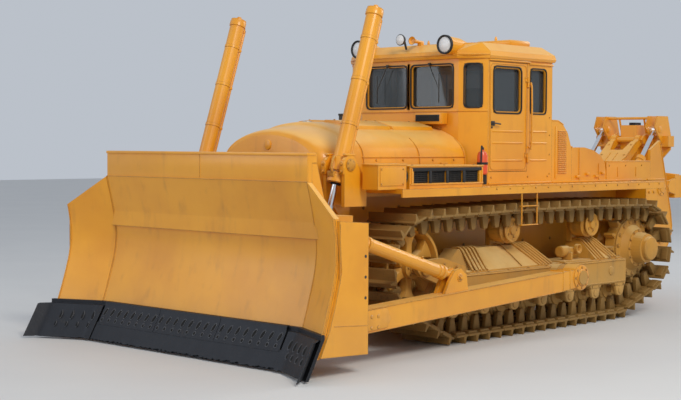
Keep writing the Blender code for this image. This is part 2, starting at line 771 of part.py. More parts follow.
def build_push_arms(paint, parent):
    arm = [(-1.99, 0.33), (-1.99, 0.57), (1.60, 0.74), (1.95, 0.74), (1.95, 0.54), (1.60, 0.51)]
    bar = prism(arm, "X", arm_inner, arm_outer)
    eye = disc((trunnion_y, trunnion_z), 0.155, arm_inner, arm_outer, 32)
    bore = disc((trunnion_y, trunnion_z), trunnion_radius + pin_play, 1.6, 2.0, 32)
    lug = [(-0.62, 0.55), (-0.16, 0.57), (-0.20, 0.82), (-0.30, 0.90), (-0.40, 0.88), (-0.50, 0.76)]
    lugs = [prism(lug, "X", x, x + 0.04) for x in (1.75, 1.87)]
    pair("push_arm", cut(joined(bar, eye, *lugs), bore), paint, (parent, parent))
    middle = (arm_inner + arm_outer) / 2
    front, rear = (middle, *brace_front), (middle, *brace_rear)
    tube = rod(front, rear, ((0.03, 0.038), (0.09, 0.038), (0.12, brace_radius), (0.87, brace_radius),
                             (0.90, 0.038), (0.98, 0.038)), 18)
    eyes = [disc((front[1], front[2]), 0.075, middle - 0.04 + gap, middle + 0.04 - gap, 20),
            disc((rear[1], rear[2]), 0.075, middle - 0.04 + gap, middle + 0.04 - gap, 20)]
    pair("brace", joined(tube, *eyes), paint, (parent, parent))


def build_lift_cylinders(paint, chrome):
    trunnion = Vector((lift_x, *lift_trunnion))
    eye = Vector((lift_x, *lift_eye))
    up = (trunnion - eye).normalized()
    swings = pivot_pair("lift_barrel_pivot", trunnion)
    slides = pivot_pair("lift_rod_slide", eye, swings)
    bottom = trunnion - up * barrel_below
    top = trunnion + up * barrel_above
    tube = plain_rod(bottom, top, barrel_radius)
    collar = plain_rod(trunnion - up * 0.075, trunnion + up * 0.075, collar_radius)
    gland = plain_rod(bottom - up * 0.03, bottom + up * 0.05, barrel_radius + 0.008)
    cap = plain_rod(top - up * 0.06, top + up * 0.015, barrel_radius + 0.006)
    reach = collar_radius + 0.01 + cheek_thickness - 0.002
    pins = disc(lift_trunnion, 0.035, lift_x - reach, lift_x + reach, 24)
    bore = plain_rod(bottom - up * 0.1, top - up * 0.05, lift_rod_radius + pin_play)
    pair("lift_barrel", cut(joined(tube, collar, gland, cap, pins), bore), paint, swings)
    shaft = plain_rod(eye + up * 0.02, eye + up * lift_rod_length, lift_rod_radius)
    end = disc(lift_eye, 0.07, lift_x - rod_eye_half, lift_x + rod_eye_half, 24)
    pair("lift_rod", joined(shaft, end), chrome, slides)


# Ripper: a four-bar linkage on a mount behind the hull

def ripper_points():
    lift = Vector((math.cos(raised_angle), math.sin(raised_angle))) * link_length
    arm_end = Vector(arm_pivot) + lift
    link_end = Vector(link_pivot) + lift
    rod_eye = arm_end + Vector(rod_eye_offset)
    return arm_end, link_end, rod_eye


def build_ripper_mount(paint):
    front = hull_rear + gap
    plate = [(front, 0.80), (front, deck_top), (rear_box_rear + gap, deck_top), (rear_box_rear + gap, 2.16),
             (4.86, 2.18), (5.07, 2.29), (5.24, 1.74), (5.42, 1.10), (5.30, 0.80)]
    side = prism(plate, "X", mount_half_width - mount_plate, mount_half_width)
    bulkhead = block((-mount_half_width + 0.01, front, 0.82),
                     (mount_half_width - 0.01, front + 0.06, deck_top - 0.02))
    tube_reach = mount_half_width - mount_plate / 2
    tubes = [disc(arm_pivot, 0.06, -tube_reach, tube_reach, 32),
             disc(link_pivot, 0.045, -tube_reach, tube_reach, 32)]
    lug = [(front + 0.03, 1.06), (4.90, 1.14), (4.96, 1.20), (4.90, 1.26), (front + 0.03, 1.34)]
    lugs = []
    for low in (ripper_cylinder_x - 0.085, ripper_cylinder_x + 0.065):
        lugs.append(prism(lug, "X", low, low + 0.02))
    pin = disc(cylinder_foot, 0.03, ripper_cylinder_x - 0.08, ripper_cylinder_x + 0.08, 20)
    body = joined(bulkhead, *two_sided([side]), *tubes, *two_sided(lugs + [pin]))
    piece("ripper_mount", body, paint, smooth=False)


def bar_outline(start, end, half_height):
    along = (Vector(end) - Vector(start)).normalized()
    across = Vector((-along.y, along.x)) * half_height
    corners = (Vector(start) + across, Vector(end) + across, Vector(end) - across, Vector(start) - across)
    return [(corner.x, corner.y) for corner in corners]


def build_ripper(paint, steel, chrome):
    arm_end, link_end, rod_eye = ripper_points()
    frame_pivot = pivot("ripper_frame_pivot", (0, *arm_pivot))
    top_pivot = pivot("ripper_link_pivot", (0, *link_pivot))
    beam_pivot = pivot("ripper_beam_pivot", (0, *arm_end), frame_pivot)

    # lower arms with a cross tube between them
    low, high = arm_x - arm_width / 2, arm_x + arm_width / 2
    bar = prism(bar_outline(arm_pivot, arm_end, 0.075), "X", low, high)
    ends = [disc(arm_pivot, 0.11, low, high), disc(arm_end, 0.09, low, high)]
    bores = [disc(arm_pivot, 0.06 + pin_play, low - 0.1, high + 0.1),
             disc(arm_end, 0.045 + pin_play, low - 0.1, high + 0.1)]
    arm = cut(joined(bar, *ends), *bores)
    halfway = (Vector(arm_pivot) + arm_end) / 2
    frame = joined(disc(halfway, 0.055, -arm_x, arm_x, 24), *two_sided([arm]))
    piece("ripper_frame", frame, paint, frame_pivot)

    # upper link: two bars and a tie
    low, high = link_x - link_width / 2, link_x + link_width / 2
    bar = prism(bar_outline(link_pivot, link_end, 0.05), "X", low, high)
    ends = [disc(link_pivot, 0.08, low, high), disc(link_end, 0.07, low, high)]
    bores = [disc(link_pivot, 0.045 + pin_play, low - 0.1, high + 0.1),
             disc(link_end, 0.04 + pin_play, low - 0.1, high + 0.1)]
    link = cut(joined(bar, *ends), *bores)
    halfway = (Vector(link_pivot) + link_end) / 2
    tie = disc(halfway, 0.04, -link_x, link_x, 20)
    piece("ripper_link", joined(tie, *two_sided([link])), paint, top_pivot)

    build_ripper_beam(paint, steel, beam_pivot, arm_end, link_end, rod_eye)

    # cylinders from the mount to the top of the beam
    foot = Vector((ripper_cylinder_x, *cylinder_foot))
    eye = Vector((ripper_cylinder_x, *rod_eye))
    along = (eye - foot).normalized()
    swings = pivot_pair("ripper_barrel_pivot", foot)
    slides = pivot_pair("ripper_rod_slide", eye, swings)
    tube = plain_rod(foot + along * 0.03, foot + along * ripper_barrel_length, ripper_barrel_radius)
    end = disc(cylinder_foot, 0.055, ripper_cylinder_x - 0.06, ripper_cylinder_x + 0.06, 24)
    hole = disc(cylinder_foot, 0.03 + pin_play, 0.2, 0.7, 20)
    bore = plain_rod(foot + along * 0.12, foot + along * (ripper_barrel_length + 0.1),
                     ripper_rod_radius + pin_play)
    pair("ripper_barrel", cut(joined(tube, end), hole, bore), paint, swings)
    shaft = plain_rod(eye - along * ripper_rod_length, eye - along * 0.02, ripper_rod_radius)
    half = 0.065 - gap
    end = disc(rod_eye, 0.06, ripper_cylinder_x - half, ripper_cylinder_x + half, 24)
    pair("ripper_rod", joined(shaft, end), chrome, slides)


def build_ripper_beam(paint, steel, parent, arm_end, link_end, rod_eye):
    y = arm_end.x
    holder = block((-0.14, y + 0.035, 1.35), (0.14, y + 0.37, 2.52))
    lower = block((-0.74, y + 0.11, arm_end.y - 0.17), (0.74, y + 0.31, arm_end.y + 0.16))
    upper = block((-0.62, y + 0.12, 2.20), (0.62, y + 0.28, 2.36))
    pins = [disc(arm_end, 0.045, 0.53, 0.73), disc(link_end, 0.04, -0.28, 0.28)]
    lug = [(y + 0.13, arm_end.y - 0.12), (y - 0.04, arm_end.y - 0.08), (y - 0.08, arm_end.y),
           (y - 0.04, arm_end.y + 0.08), (y + 0.13, arm_end.y + 0.12)]
    arm_lugs = [prism(lug, "X", low, low + 0.04) for low in (0.515, 0.705)]
    lug = [(y + 0.12, link_end.y - 0.06), (y, link_end.y - 0.06), (y - 0.05, link_end.y),
           (y, link_end.y + 0.06), (y + 0.12, link_end.y + 0.10)]
    link_lug = prism(lug, "X", 0.2453, 0.285)
    # tall cheeks that hold the rod's eye
    cheek = [(y - 0.10, rod_eye.y + 0.03), (y - 0.03, rod_eye.y + 0.20), (y + 0.26, rod_eye.y + 0.20),
             (y + 0.36, rod_eye.y - 0.10), (y + 0.24, 2.24), (y + 0.10, 2.24)]
    cheeks = [prism(cheek, "X", low, low + 0.02)
              for low in (ripper_cylinder_x - 0.085, ripper_cylinder_x + 0.065)]
    rail = plain_rod((-0.36, y + 0.05, rod_eye.y + 0.17), (0.36, y + 0.05, rod_eye.y + 0.17), 0.02, 10)
    posts = [plain_rod((x, y + 0.05, rod_eye.y + 0.17), (x, y + 0.15, 2.30), 0.015, 8) for x in (-0.17, 0.25)]
    slot = block((-shank_half_width - gap, y + 0.12 - gap, 1.2),
                 (shank_half_width + gap, y + 0.30 + gap, 2.7))
    sides = [pins[0], link_lug] + arm_lugs + cheeks
    body = joined(holder, lower, upper, pins[1], rail, *posts, *two_sided(sides))
    piece("ripper_beam", cut(body, slot), paint, parent, smooth=False)
    blade = [(y + 0.12, 2.56), (y + 0.30, 2.56), (y + 0.30, 1.30), (y + 0.25, 1.02), (y + 0.10, 0.82),
             (y - 0.06, 0.74), (y - 0.08, 0.79), (y + 0.03, 0.93), (y + 0.10, 1.12), (y + 0.12, 1.32)]
    piece("ripper_shank", prism(blade, "X", -shank_half_width, shank_half_width), steel, parent, smooth=False)


def stand_on_origin():
    # the middle of the whole box goes to the origin, with the lowest point at zero
    bpy.context.view_layer.update()
    corners = []
    for thing in bpy.context.scene.objects:
        if thing.type == "MESH":
            corners += [thing.matrix_world @ vertex.co for vertex in thing.data.vertices]
    low = Vector(min(corner[i] for corner in corners) for i in range(3))
    high = Vector(max(corner[i] for corner in corners) for i in range(3))
    shift = Vector((-(low.x + high.x) / 2, -(low.y + high.y) / 2, -low.z))
    for thing in bpy.context.scene.objects:
        if thing.parent is None:
            thing.location += shift


def build():
    clear_scene()
    paint = finish("yellow_paint", (0.80, 0.47, 0.06), 0.45)
    running_gear = finish("worn_paint", (0.55, 0.36, 0.10), 0.65)
    track_steel = finish("track_steel", (0.36, 0.28, 0.15), 0.7, 0.4)
    edge_steel = finish("edge_steel", (0.05, 0.052, 0.06), 0.6, 0.6)
    chrome = finish("rod_chrome", (0.85, 0.86, 0.88), 0.12, 1.0)
    glass = finish("cab_glass", (0.75, 0.82, 0.85), 0.05, 0.0, 0.3)
    trim = finish("dark_trim", (0.06, 0.06, 0.06), 0.6)
    fabric = finish("seat_fabric", (0.05, 0.045, 0.04), 0.85)

    build_hull(paint)
    build_tracks(track_steel)
    build_idlers(running_gear)
    build_sprockets(running_gear)
    build_track_frames(running_gear)
    build_fenders(paint)
    build_hood(paint)
    build_nose(paint)
    build_side_boxes(paint)
    build_cab(paint, glass)
    build_roof(paint)
    build_doors(paint, glass)
    build_cab_interior(trim, fabric)
    build_rear_bodywork(paint)

    blade_pivot = pivot("blade_pivot", (0, trunnion_y, trunnion_z))
    build_blade(paint, edge_steel, blade_pivot)
    build_push_arms(paint, blade_pivot)
    build_lift_cylinders(paint, chrome)
    build_ripper_mount(paint)
    build_ripper(paint, edge_steel, chrome)
    stand_on_origin()


build()
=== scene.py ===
# Looks of the tracked bulldozer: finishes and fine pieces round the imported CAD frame.
# Metres. y is kept as in the CAD's construction, from the first grouser, and datum moves it at the end.
import json
import math
import random

import bmesh
import bpy
from mathutils import Matrix, Vector


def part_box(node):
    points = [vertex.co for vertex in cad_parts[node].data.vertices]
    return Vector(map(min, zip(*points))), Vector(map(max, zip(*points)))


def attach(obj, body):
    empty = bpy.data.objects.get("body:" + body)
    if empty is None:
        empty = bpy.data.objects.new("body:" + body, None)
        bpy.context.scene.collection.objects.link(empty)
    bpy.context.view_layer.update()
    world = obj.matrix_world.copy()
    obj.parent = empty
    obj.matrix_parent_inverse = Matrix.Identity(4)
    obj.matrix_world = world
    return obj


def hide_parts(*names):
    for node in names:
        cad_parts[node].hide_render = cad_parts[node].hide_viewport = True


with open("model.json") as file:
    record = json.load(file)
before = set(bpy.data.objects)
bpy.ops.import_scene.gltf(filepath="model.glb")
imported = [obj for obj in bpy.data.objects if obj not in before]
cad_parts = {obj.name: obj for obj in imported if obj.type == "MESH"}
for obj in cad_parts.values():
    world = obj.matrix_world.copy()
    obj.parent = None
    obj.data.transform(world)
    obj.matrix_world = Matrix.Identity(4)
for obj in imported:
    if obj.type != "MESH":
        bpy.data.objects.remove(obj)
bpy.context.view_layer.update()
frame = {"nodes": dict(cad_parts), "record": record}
cabFrontY = 1.03
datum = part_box("cab_body")[0].y - cabFrontY
random.seed(7)
print("frame loaded")


class Signal:  # a shader socket that works in sums
    def __init__(self, shader, socket):
        self.shader = shader
        self.socket = socket

    def math(self, operation, *values):
        return self.shader.node("Math", {"operation": operation}, dict(enumerate(values)))

    def __add__(self, other):
        return self.math("ADD", self, other)

    def __sub__(self, other):
        return self.math("SUBTRACT", self, other)

    def __rsub__(self, other):
        return self.math("SUBTRACT", other, self)

    def __mul__(self, other):
        return self.math("MULTIPLY", self, other)

    def __gt__(self, other):
        return self.math("GREATER_THAN", self, other)

    __radd__ = __add__
    __rmul__ = __mul__

    def lift(self, low, high):  # 0 below low, 1 above high, smooth between
        return self.shader.node("MapRange", {"interpolation_type": "SMOOTHSTEP"},
                                {"Value": self, "From Min": low, "From Max": high})


class Shader:
    def __init__(self, name):
        self.material = bpy.data.materials.new(name)
        self.material.use_nodes = True
        self.tree = self.material.node_tree
        self.tree.nodes.clear()
        self.place = self.node("TexCoord", output="Object")

    def node(self, kind, settings=None, inputs=None, output=0):
        made = self.tree.nodes.new("ShaderNode" + kind)
        for name, value in (settings or {}).items():
            setattr(made, name, value)
        for key, value in (inputs or {}).items():
            if isinstance(value, Signal):
                self.tree.links.new(value.socket, made.inputs[key])
            else:
                made.inputs[key].default_value = value
        return Signal(self, made.outputs[output]) if made.outputs else None

    def noise(self, scale, detail=4.0, stretch=(1.0, 1.0, 1.0)):
        place = self.node("Mapping", inputs={"Vector": self.place, "Scale": stretch})
        return self.node("TexNoise", inputs={"Vector": place, "Scale": scale, "Detail": detail})

    def mix(self, mask, first, second):
        return self.node("Mix", {"data_type": "RGBA"}, {0: mask, 6: first, 7: second}, output=2)

    def part(self, vector, axis):
        return self.node("SeparateXYZ", inputs={0: vector}, output=axis)

    def edges(self, radius):  # 1 on convex and concave edges, 0 on flats, with the rounded normal
        rounded = self.node("Bevel", {"samples": 3}, {"Radius": radius})
        flat = self.node("NewGeometry", output="Normal")
        turn = self.node("VectorMath", {"operation": "DOT_PRODUCT"}, {0: rounded, 1: flat}, output="Value")
        return 1 - turn, rounded

    def finish(self, height, strength, normal, **sockets):
        bump = self.node("Bump", inputs={"Strength": strength, "Distance": 0.004,
                                         "Height": height, "Normal": normal})
        named = {key.replace("_", " "): value for key, value in sockets.items()}
        surface = self.node("BsdfPrincipled", inputs={"Normal": bump, **named})
        self.node("OutputMaterial", inputs={0: surface})
        return self.material


def colour(red, green, blue):
    return (red, green, blue, 1.0)


def wornPaint(name, look):
    s = Shader(name)
    height = s.part(s.place, "Z")
    up = s.part(s.node("NewGeometry", output="Normal"), "Z")
    cloud = s.noise(1.3, 5)
    patch = s.noise(5.0, 6)
    grit = s.noise(70.0, 3)
    runs = s.noise(9.0, 4, (1.0, 1.0, 0.12))
    edge, rounded = s.edges(look["round"])
    chips = (edge * 3.0 + patch * 0.9 + grit * 0.45).lift(look["chipFrom"], look["chipFrom"] + 0.12)
    low = 1 - height.lift(0.2, look["dustTop"])
    dust = (low * 0.75 + cloud * 0.5 + grit * 0.25 - 0.55).lift(0.05, 0.75) * look["dust"]
    # upward faces take a paler yellow: partly settled dust, partly painted top light
    settledDustAndTopLight = (up.lift(0.35, 0.95) * (0.45 + patch * 0.9)).lift(0.2, 1.0) * look["settledDustAndTopLight"]
    stain = (runs * 0.7 + patch * 0.5).lift(0.62, 0.95) * look["stain"]
    paint = s.mix(cloud.lift(0.3, 0.75), look["paint"], look["shade"])
    paint = s.mix(stain, paint, look["stainColour"])
    paint = s.mix(dust, paint, look["dustColour"])
    paint = s.mix(settledDustAndTopLight, paint, look["paleDustAndTopLight"])
    paint = s.mix(chips, paint, look["bare"])
    rough = 0.30 + patch * 0.18 + dust * 0.35 + settledDustAndTopLight * 0.25 + chips * 0.1 + look["flat"]
    relief = grit * 0.35 + patch * 0.5 - chips * 0.6 + dust * grit * 0.6
    return s.finish(relief, look["bump"], rounded, Base_Color=paint, Roughness=rough,
                    Metallic=chips * 0.5, Coat_Weight=(1 - dust) * look["coat"],
                    Coat_Roughness=0.18)


# the pale colour of upward faces is partly settled dust and partly painted top light
bodyLook = {"paint": colour(0.86, 0.37, 0.012), "shade": colour(0.74, 0.29, 0.008),
            "stainColour": colour(0.42, 0.16, 0.02), "dustColour": colour(0.62, 0.38, 0.12),
            "paleDustAndTopLight": colour(0.95, 0.62, 0.20), "bare": colour(0.20, 0.12, 0.06),
            "round": 0.008, "chipFrom": 1.18, "dustTop": 2.2, "dust": 0.35, "settledDustAndTopLight": 0.55,
            "stain": 0.35, "flat": 0.02, "bump": 0.25, "coat": 0.35}
bladeLook = {**bodyLook, "dust": 0.25, "stain": 0.5, "chipFrom": 1.12, "dustTop": 1.2, "round": 0.012}
gearLook = {**bodyLook, "paint": colour(0.62, 0.29, 0.03), "shade": colour(0.46, 0.22, 0.035),
            "stainColour": colour(0.16, 0.09, 0.035), "dust": 0.75, "settledDustAndTopLight": 0.7, "stain": 0.8,
            "chipFrom": 1.05, "flat": 0.22, "bump": 0.6, "coat": 0.0, "dustTop": 1.5,
            "dustColour": colour(0.50, 0.32, 0.11), "paleDustAndTopLight": colour(0.80, 0.55, 0.22)}


def bareSteel(name, look):
    s = Shader(name)
    patch = s.noise(6.0, 6)
    grit = s.noise(55.0, 4)
    scratch = s.noise(30.0, 3, look["drag"])
    edge, rounded = s.edges(0.002)
    bright = (edge * 3.0 + scratch * 0.5 + patch * 0.4).lift(look["brightFrom"], look["brightFrom"] + 0.3)
    soil = (patch + grit * 0.4).lift(look["soilFrom"], look["soilFrom"] + 0.25)
    tint = s.mix(bright, look["dark"], look["bright"])
    tint = s.mix(soil * look["soil"], tint, look["soilColour"])
    return s.finish(grit * 0.6 + scratch * 0.4 + patch, look["bump"], rounded, Base_Color=tint,
                    Roughness=look["rough"] + patch * 0.2 + soil * 0.2,
                    Metallic=look["metal"] * (1 - soil * 0.8))


edgeLook = {"dark": colour(0.022, 0.024, 0.030), "bright": colour(0.13, 0.135, 0.15),
            "drag": (1.0, 1.0, 0.15),
            "brightFrom": 0.62, "soilFrom": 0.85, "soil": 0.5, "soilColour": colour(0.10, 0.075, 0.05),
            "bump": 0.8, "rough": 0.42, "metal": 0.55}
shoeLook = {"dark": colour(0.30, 0.17, 0.045), "bright": colour(0.62, 0.44, 0.20), "drag": (1.0, 1.0, 1.0),
            "brightFrom": 0.75, "soilFrom": 0.78, "soil": 0.75, "soilColour": colour(0.06, 0.04, 0.025),
            "bump": 0.9, "rough": 0.55, "metal": 0.35}


def smoothMetal(name, tint, rough, brushed):
    s = Shader(name)
    film = s.noise(14.0, 4, brushed)
    fine = s.noise(160.0, 2, brushed)
    edge, rounded = s.edges(0.003)
    return s.finish(fine, 0.05, rounded, Base_Color=s.mix(film * 0.35, tint, colour(0.30, 0.27, 0.22)),
                    Roughness=rough + film * 0.14, Metallic=1.0)


def darkRubber(name, tint, rough, dustiness=0.4):
    s = Shader(name)
    patch = s.noise(8.0, 5)
    grain = s.noise(180.0, 2)
    edge, rounded = s.edges(0.004)
    dust = (patch * 0.9 + edge).lift(0.52, 0.9) * dustiness
    return s.finish(grain + patch * 0.4, 0.35, rounded,
                    Base_Color=s.mix(dust, tint, colour(0.20, 0.15, 0.09)),
                    Roughness=rough + patch * 0.2)


def paneGlass(name, tint, alpha):
    s = Shader(name)
    smear = s.noise(3.0, 5, (1.0, 1.0, 0.4))
    film = (smear + s.noise(60.0, 2) * 0.2).lift(0.5, 0.8)
    material = s.finish(smear, 0.03, s.node("NewGeometry", output="Normal"), Base_Color=tint,
                        Roughness=0.03 + film * 0.10, Alpha=alpha + film * 0.10, Specular_IOR_Level=0.8)
    return material


def woven(name, tint):
    s = Shader(name)
    threads = s.node("TexWave", {"bands_direction": "DIAGONAL"}, {"Vector": s.place, "Scale": 150.0,
                                                                 "Distortion": 1.5}, output="Fac")
    worn = s.noise(7.0, 5).lift(0.45, 0.75)
    return s.finish(threads * 0.6 + s.noise(40.0, 3), 0.4, s.node("NewGeometry", output="Normal"),
                    Base_Color=s.mix(worn, tint, colour(0.16, 0.13, 0.10)), Roughness=0.8 + worn * 0.1)


def lensGlass(name, tint, rough):
    s = Shader(name)
    flutes = s.node("TexWave", {"bands_direction": "X"}, {"Vector": s.place, "Scale": 22.0}, output="Fac")
    return s.finish(flutes, 0.3, s.node("NewGeometry", output="Normal"),
                    Base_Color=s.mix(s.noise(20.0) * 0.4, tint, colour(0.25, 0.24, 0.22)),
                    Roughness=rough + s.noise(9.0) * 0.1, Coat_Weight=0.8)


paint = wornPaint("machinePaint", bodyLook)
bladePaint = wornPaint("bladePaint", bladeLook)
gearPaint = wornPaint("gearPaint", gearLook)
thinPaint = wornPaint("sheetPaint", {**bodyLook, "round": 0.0015})
thinBladePaint = wornPaint("bladeSheetPaint", {**bladeLook, "round": 0.0015})
edgeSteel = bareSteel("edgeSteel", edgeLook)
shoeSteel = bareSteel("shoeSteel", shoeLook)
chrome = smoothMetal("rodChrome", colour(0.86, 0.87, 0.90), 0.10, (1.0, 1.0, 6.0))
zinc = smoothMetal("zincPlate", colour(0.52, 0.50, 0.46), 0.34, (1.0, 1.0, 1.0))
rubber = darkRubber("blackRubber", colour(0.014, 0.014, 0.015), 0.55)
trim = darkRubber("darkTrim", colour(0.035, 0.033, 0.031), 0.45)
# near-black finish of the cutting-edge holes: painted shade
holeShadeFinish = darkRubber("paintedHoleShade", colour(0.001, 0.001, 0.001), 0.8, 0.02)
# brighter steel for the rims round the edge holes: wear and painted highlight
wornRimAndHighlightSteel = bareSteel("wornRimAndHighlightSteel", {**edgeLook, "dark": colour(0.06, 0.062, 0.068),
                                  "bright": colour(0.34, 0.34, 0.36)})
glass = paneGlass("cabGlass", colour(0.045, 0.055, 0.06), 0.62)
fabric = woven("seatCloth", colour(0.045, 0.038, 0.034))
lens = lensGlass("lampLens", colour(0.82, 0.84, 0.86), 0.08)
redPaint = wornPaint("redPaint", {**bodyLook, "paint": colour(0.80, 0.085, 0.010),
                                  "shade": colour(0.60, 0.05, 0.01),
                                  "paleDustAndTopLight": colour(0.75, 0.25, 0.12)})
print("materials made")

slotFinish = {"yellow_paint": paint, "worn_paint": gearPaint, "track_steel": shoeSteel,
              "edge_steel": edgeSteel, "rod_chrome": chrome, "cab_glass": glass,
              "dark_trim": trim, "seat_fabric": fabric}
nodeFinish = {"blade": bladePaint, "push_arm_left": bladePaint, "push_arm_right": bladePaint}
for row in frame["record"]["subparts"]:
    node = frame["nodes"][row["node"]]
    finishOfNode = nodeFinish.get(row["node"], slotFinish[row["material_slot"]])
    for place in node.material_slots:
        place.material = finishOfNode


class Shape:  # gathers solids into one mesh
    def __init__(self):
        self.mesh = bmesh.new()

    def rings(self, rings, ends=True, closed=True):
        rows = [[self.mesh.verts.new(point) for point in ring] for ring in rings]
        count = len(rows[0])
        made = []
        for before, after in zip(rows, rows[1:]):
            for i in range(count if closed else count - 1):
                j = (i + 1) % count
                made.append(self.mesh.faces.new((before[i], before[j], after[j], after[i])))
        if ends:
            made.append(self.mesh.faces.new(rows[0]))
            made.append(self.mesh.faces.new(rows[-1][::-1]))
        return made

    def soften(self, faces, width, segments=2):
        if width:
            edges = {edge for face in faces for edge in face.edges if edge.calc_face_angle(0) > 0.4}
            bmesh.ops.bevel(self.mesh, geom=list(edges), offset=width, segments=segments,
                            profile=0.5, affect="EDGES", clamp_overlap=True)

    def prism(self, outline, axis, start, end, bevel=0.0):
        order = {"X": lambda a, b, at: (at, a, b), "Y": lambda a, b, at: (a, at, b),
                 "Z": lambda a, b, at: (a, b, at)}[axis]
        faces = self.rings([[order(a, b, at) for a, b in outline] for at in (start, end)])
        bmesh.ops.recalc_face_normals(self.mesh, faces=faces)
        self.soften(faces, bevel)

    def box(self, low, high, bevel=0.0):
        outline = [(low[1], low[2]), (high[1], low[2]), (high[1], high[2]), (low[1], high[2])]
        self.prism(outline, "X", low[0], high[0], bevel)

    def lathe(self, start, direction, profile, sides=24, hollow=False):  # profile rows: along, radius
        start = Vector(start)
        along = Vector(direction).normalized()
        side = along.orthogonal().normalized()
        other = along.cross(side)
        turn = 2 * math.pi / sides
        rows = [[start + along * far + side * (radius * math.cos(i * turn))
                 + other * (radius * math.sin(i * turn)) for i in range(sides)] for far, radius in profile]
        self.rings(rows + rows[:1] if hollow else rows, not hollow)

    def bar(self, start, end, radius, sides=16, endRadius=None):
        length = (Vector(end) - Vector(start)).length
        last = radius if endRadius is None else endRadius
        self.lathe(start, Vector(end) - Vector(start), ((0, radius), (length, last)), sides)

    def bolt(self, place, direction, size=0.014):  # washer and six-sided head
        self.lathe(place, direction, ((-0.002, size * 1.35), (size * 0.25, size * 1.35)), 12)
        self.lathe(place, direction, ((size * 0.2, size), (size * 0.85, size), (size * 1.0, size * 0.8)), 6)

    def pipe(self, points, radius, sides=10, smooth=6):
        path = curvePoints(points, smooth)
        side = (path[1] - path[0]).orthogonal().normalized()
        rings = []
        for i, point in enumerate(path):
            along = (path[min(i + 1, len(path) - 1)] - path[max(i - 1, 0)]).normalized()
            side = (side - along * side.dot(along)).normalized()
            other = along.cross(side)
            rings.append([point + side * (radius * math.cos(k * 2 * math.pi / sides))
                          + other * (radius * math.sin(k * 2 * math.pi / sides)) for k in range(sides)])
        self.rings(rings)

    def sheet(self, rows, thickness):  # a grid of points given a back face
        front = [[Vector(point) for point in row] for row in rows]
        grid = [[self.mesh.verts.new(point) for point in row] for row in front]
        faces = []
        for before, after in zip(grid, grid[1:]):
            for i in range(len(before) - 1):
                faces.append(self.mesh.faces.new((before[i], before[i + 1], after[i + 1], after[i])))
        self.mesh.normal_update()
        if thickness:
            bmesh.ops.solidify(self.mesh, geom=faces, thickness=thickness)

    def mirror(self):
        everything = self.mesh.verts[:] + self.mesh.edges[:] + self.mesh.faces[:]
        other = bmesh.ops.duplicate(self.mesh, geom=everything)
        verts = [item for item in other["geom"] if isinstance(item, bmesh.types.BMVert)]
        faces = [item for item in other["geom"] if isinstance(item, bmesh.types.BMFace)]
        bmesh.ops.scale(self.mesh, vec=(-1, 1, 1), verts=verts)
        bmesh.ops.reverse_faces(self.mesh, faces=faces)

    def flip(self):  # the same shape on the other side of the machine
        bmesh.ops.scale(self.mesh, vec=(-1, 1, 1), verts=self.mesh.verts)
        bmesh.ops.reverse_faces(self.mesh, faces=self.mesh.faces)

    def make(self, name, body, slotName, material, smoothAngle=32, replaces=()):
        bmesh.ops.translate(self.mesh, vec=(0, datum, 0), verts=self.mesh.verts)
        bmesh.ops.recalc_face_normals(self.mesh, faces=self.mesh.faces)
        mesh = bpy.data.meshes.new(name)
        self.mesh.to_mesh(mesh)
        self.mesh.free()
        mesh.materials.append(material)
        mesh.shade_smooth()
        mesh.set_sharp_from_angle(angle=math.radians(smoothAngle))
        piece = bpy.data.objects.new(name, mesh)
        bpy.context.scene.collection.objects.link(piece)
        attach(piece, body)
        if replaces:
            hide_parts(*replaces)
        return piece


def curvePoints(points, smooth):  # a smooth line through the points
    points = [Vector(point) for point in points]
    if len(points) < 3:
        return points
    ends = [points[0] * 2 - points[1]] + points + [points[-1] * 2 - points[-2]]
    path = []
    for a, b, c, d in zip(ends, ends[1:], ends[2:], ends[3:]):
        for k in range(smooth):
            t = k / smooth
            path.append(0.5 * (2 * b + (c - a) * t + (2 * a - 5 * b + 4 * c - d) * t * t
                               + (3 * b - a - 3 * c + d) * t ** 3))
    return path + [points[-1]]


def circlePoints(centre, radius, sides, start=0.0):
    turn = 2 * math.pi / sides
    return [(centre[0] + radius * math.cos(start + i * turn),
             centre[1] + radius * math.sin(start + i * turn))
            for i in range(sides)]


sides = (("left", 1), ("right", -1))


def bothSides(build, name, body, slotName, material, replaces=None, **more):
    for side, sign in sides:
        shape = Shape()
        build(shape)
        if sign < 0:
            shape.flip()
        shape.make(f"{name}_{side}", body.format(side=side), slotName, material,
                   replaces=tuple(f"{node}_{side}" for node in replaces or ()), **more)


# Tracks: one cast shoe, set round the wheels
track = {"middle": 1.219, "width": 0.69, "pitch": 0.218, "plateLow": 0.080, "plateHigh": 0.105,
         "grouser": 0.0745, "wheelRadius": 0.19, "firstRoller": 0.04, "rollerPitch": 0.56, "rollers": 7,
         "idler": (-0.41, 0.874, 0.46), "sprocket": (4.04, 0.87, 0.475),
         "carriers": ((2.995, 1.215, 0.15), (1.32, 1.215, 0.15)), "groundZ": 0.18}
track["rollerZ"] = track["groundZ"] + track["wheelRadius"]


def beltLine():
    first = track["firstRoller"]
    last = first + (track["rollers"] - 1) * track["rollerPitch"]
    wheels = [(first, track["rollerZ"], track["wheelRadius"]),
              (last, track["rollerZ"], track["wheelRadius"]),
              track["sprocket"], *track["carriers"], track["idler"]]
    centres = [(Vector((y, z)), radius) for y, z, radius in wheels]
    turns = []
    for (here, radius), (there, nextRadius) in zip(centres, centres[1:] + centres[:1]):
        along = there - here
        lean = math.asin((radius - nextRadius) / along.length)
        turns.append(math.atan2(along.y, along.x) - math.pi / 2 + lean)
    points = []
    for i, (here, radius) in enumerate(centres):
        sweep = (turns[i] - turns[i - 1]) % (2 * math.pi)
        steps = max(2, math.ceil(sweep / 0.08))
        for k in range(steps + 1):
            angle = turns[i - 1] + sweep * k / steps
            points.append(here + radius * Vector((math.cos(angle), math.sin(angle))))
    return points


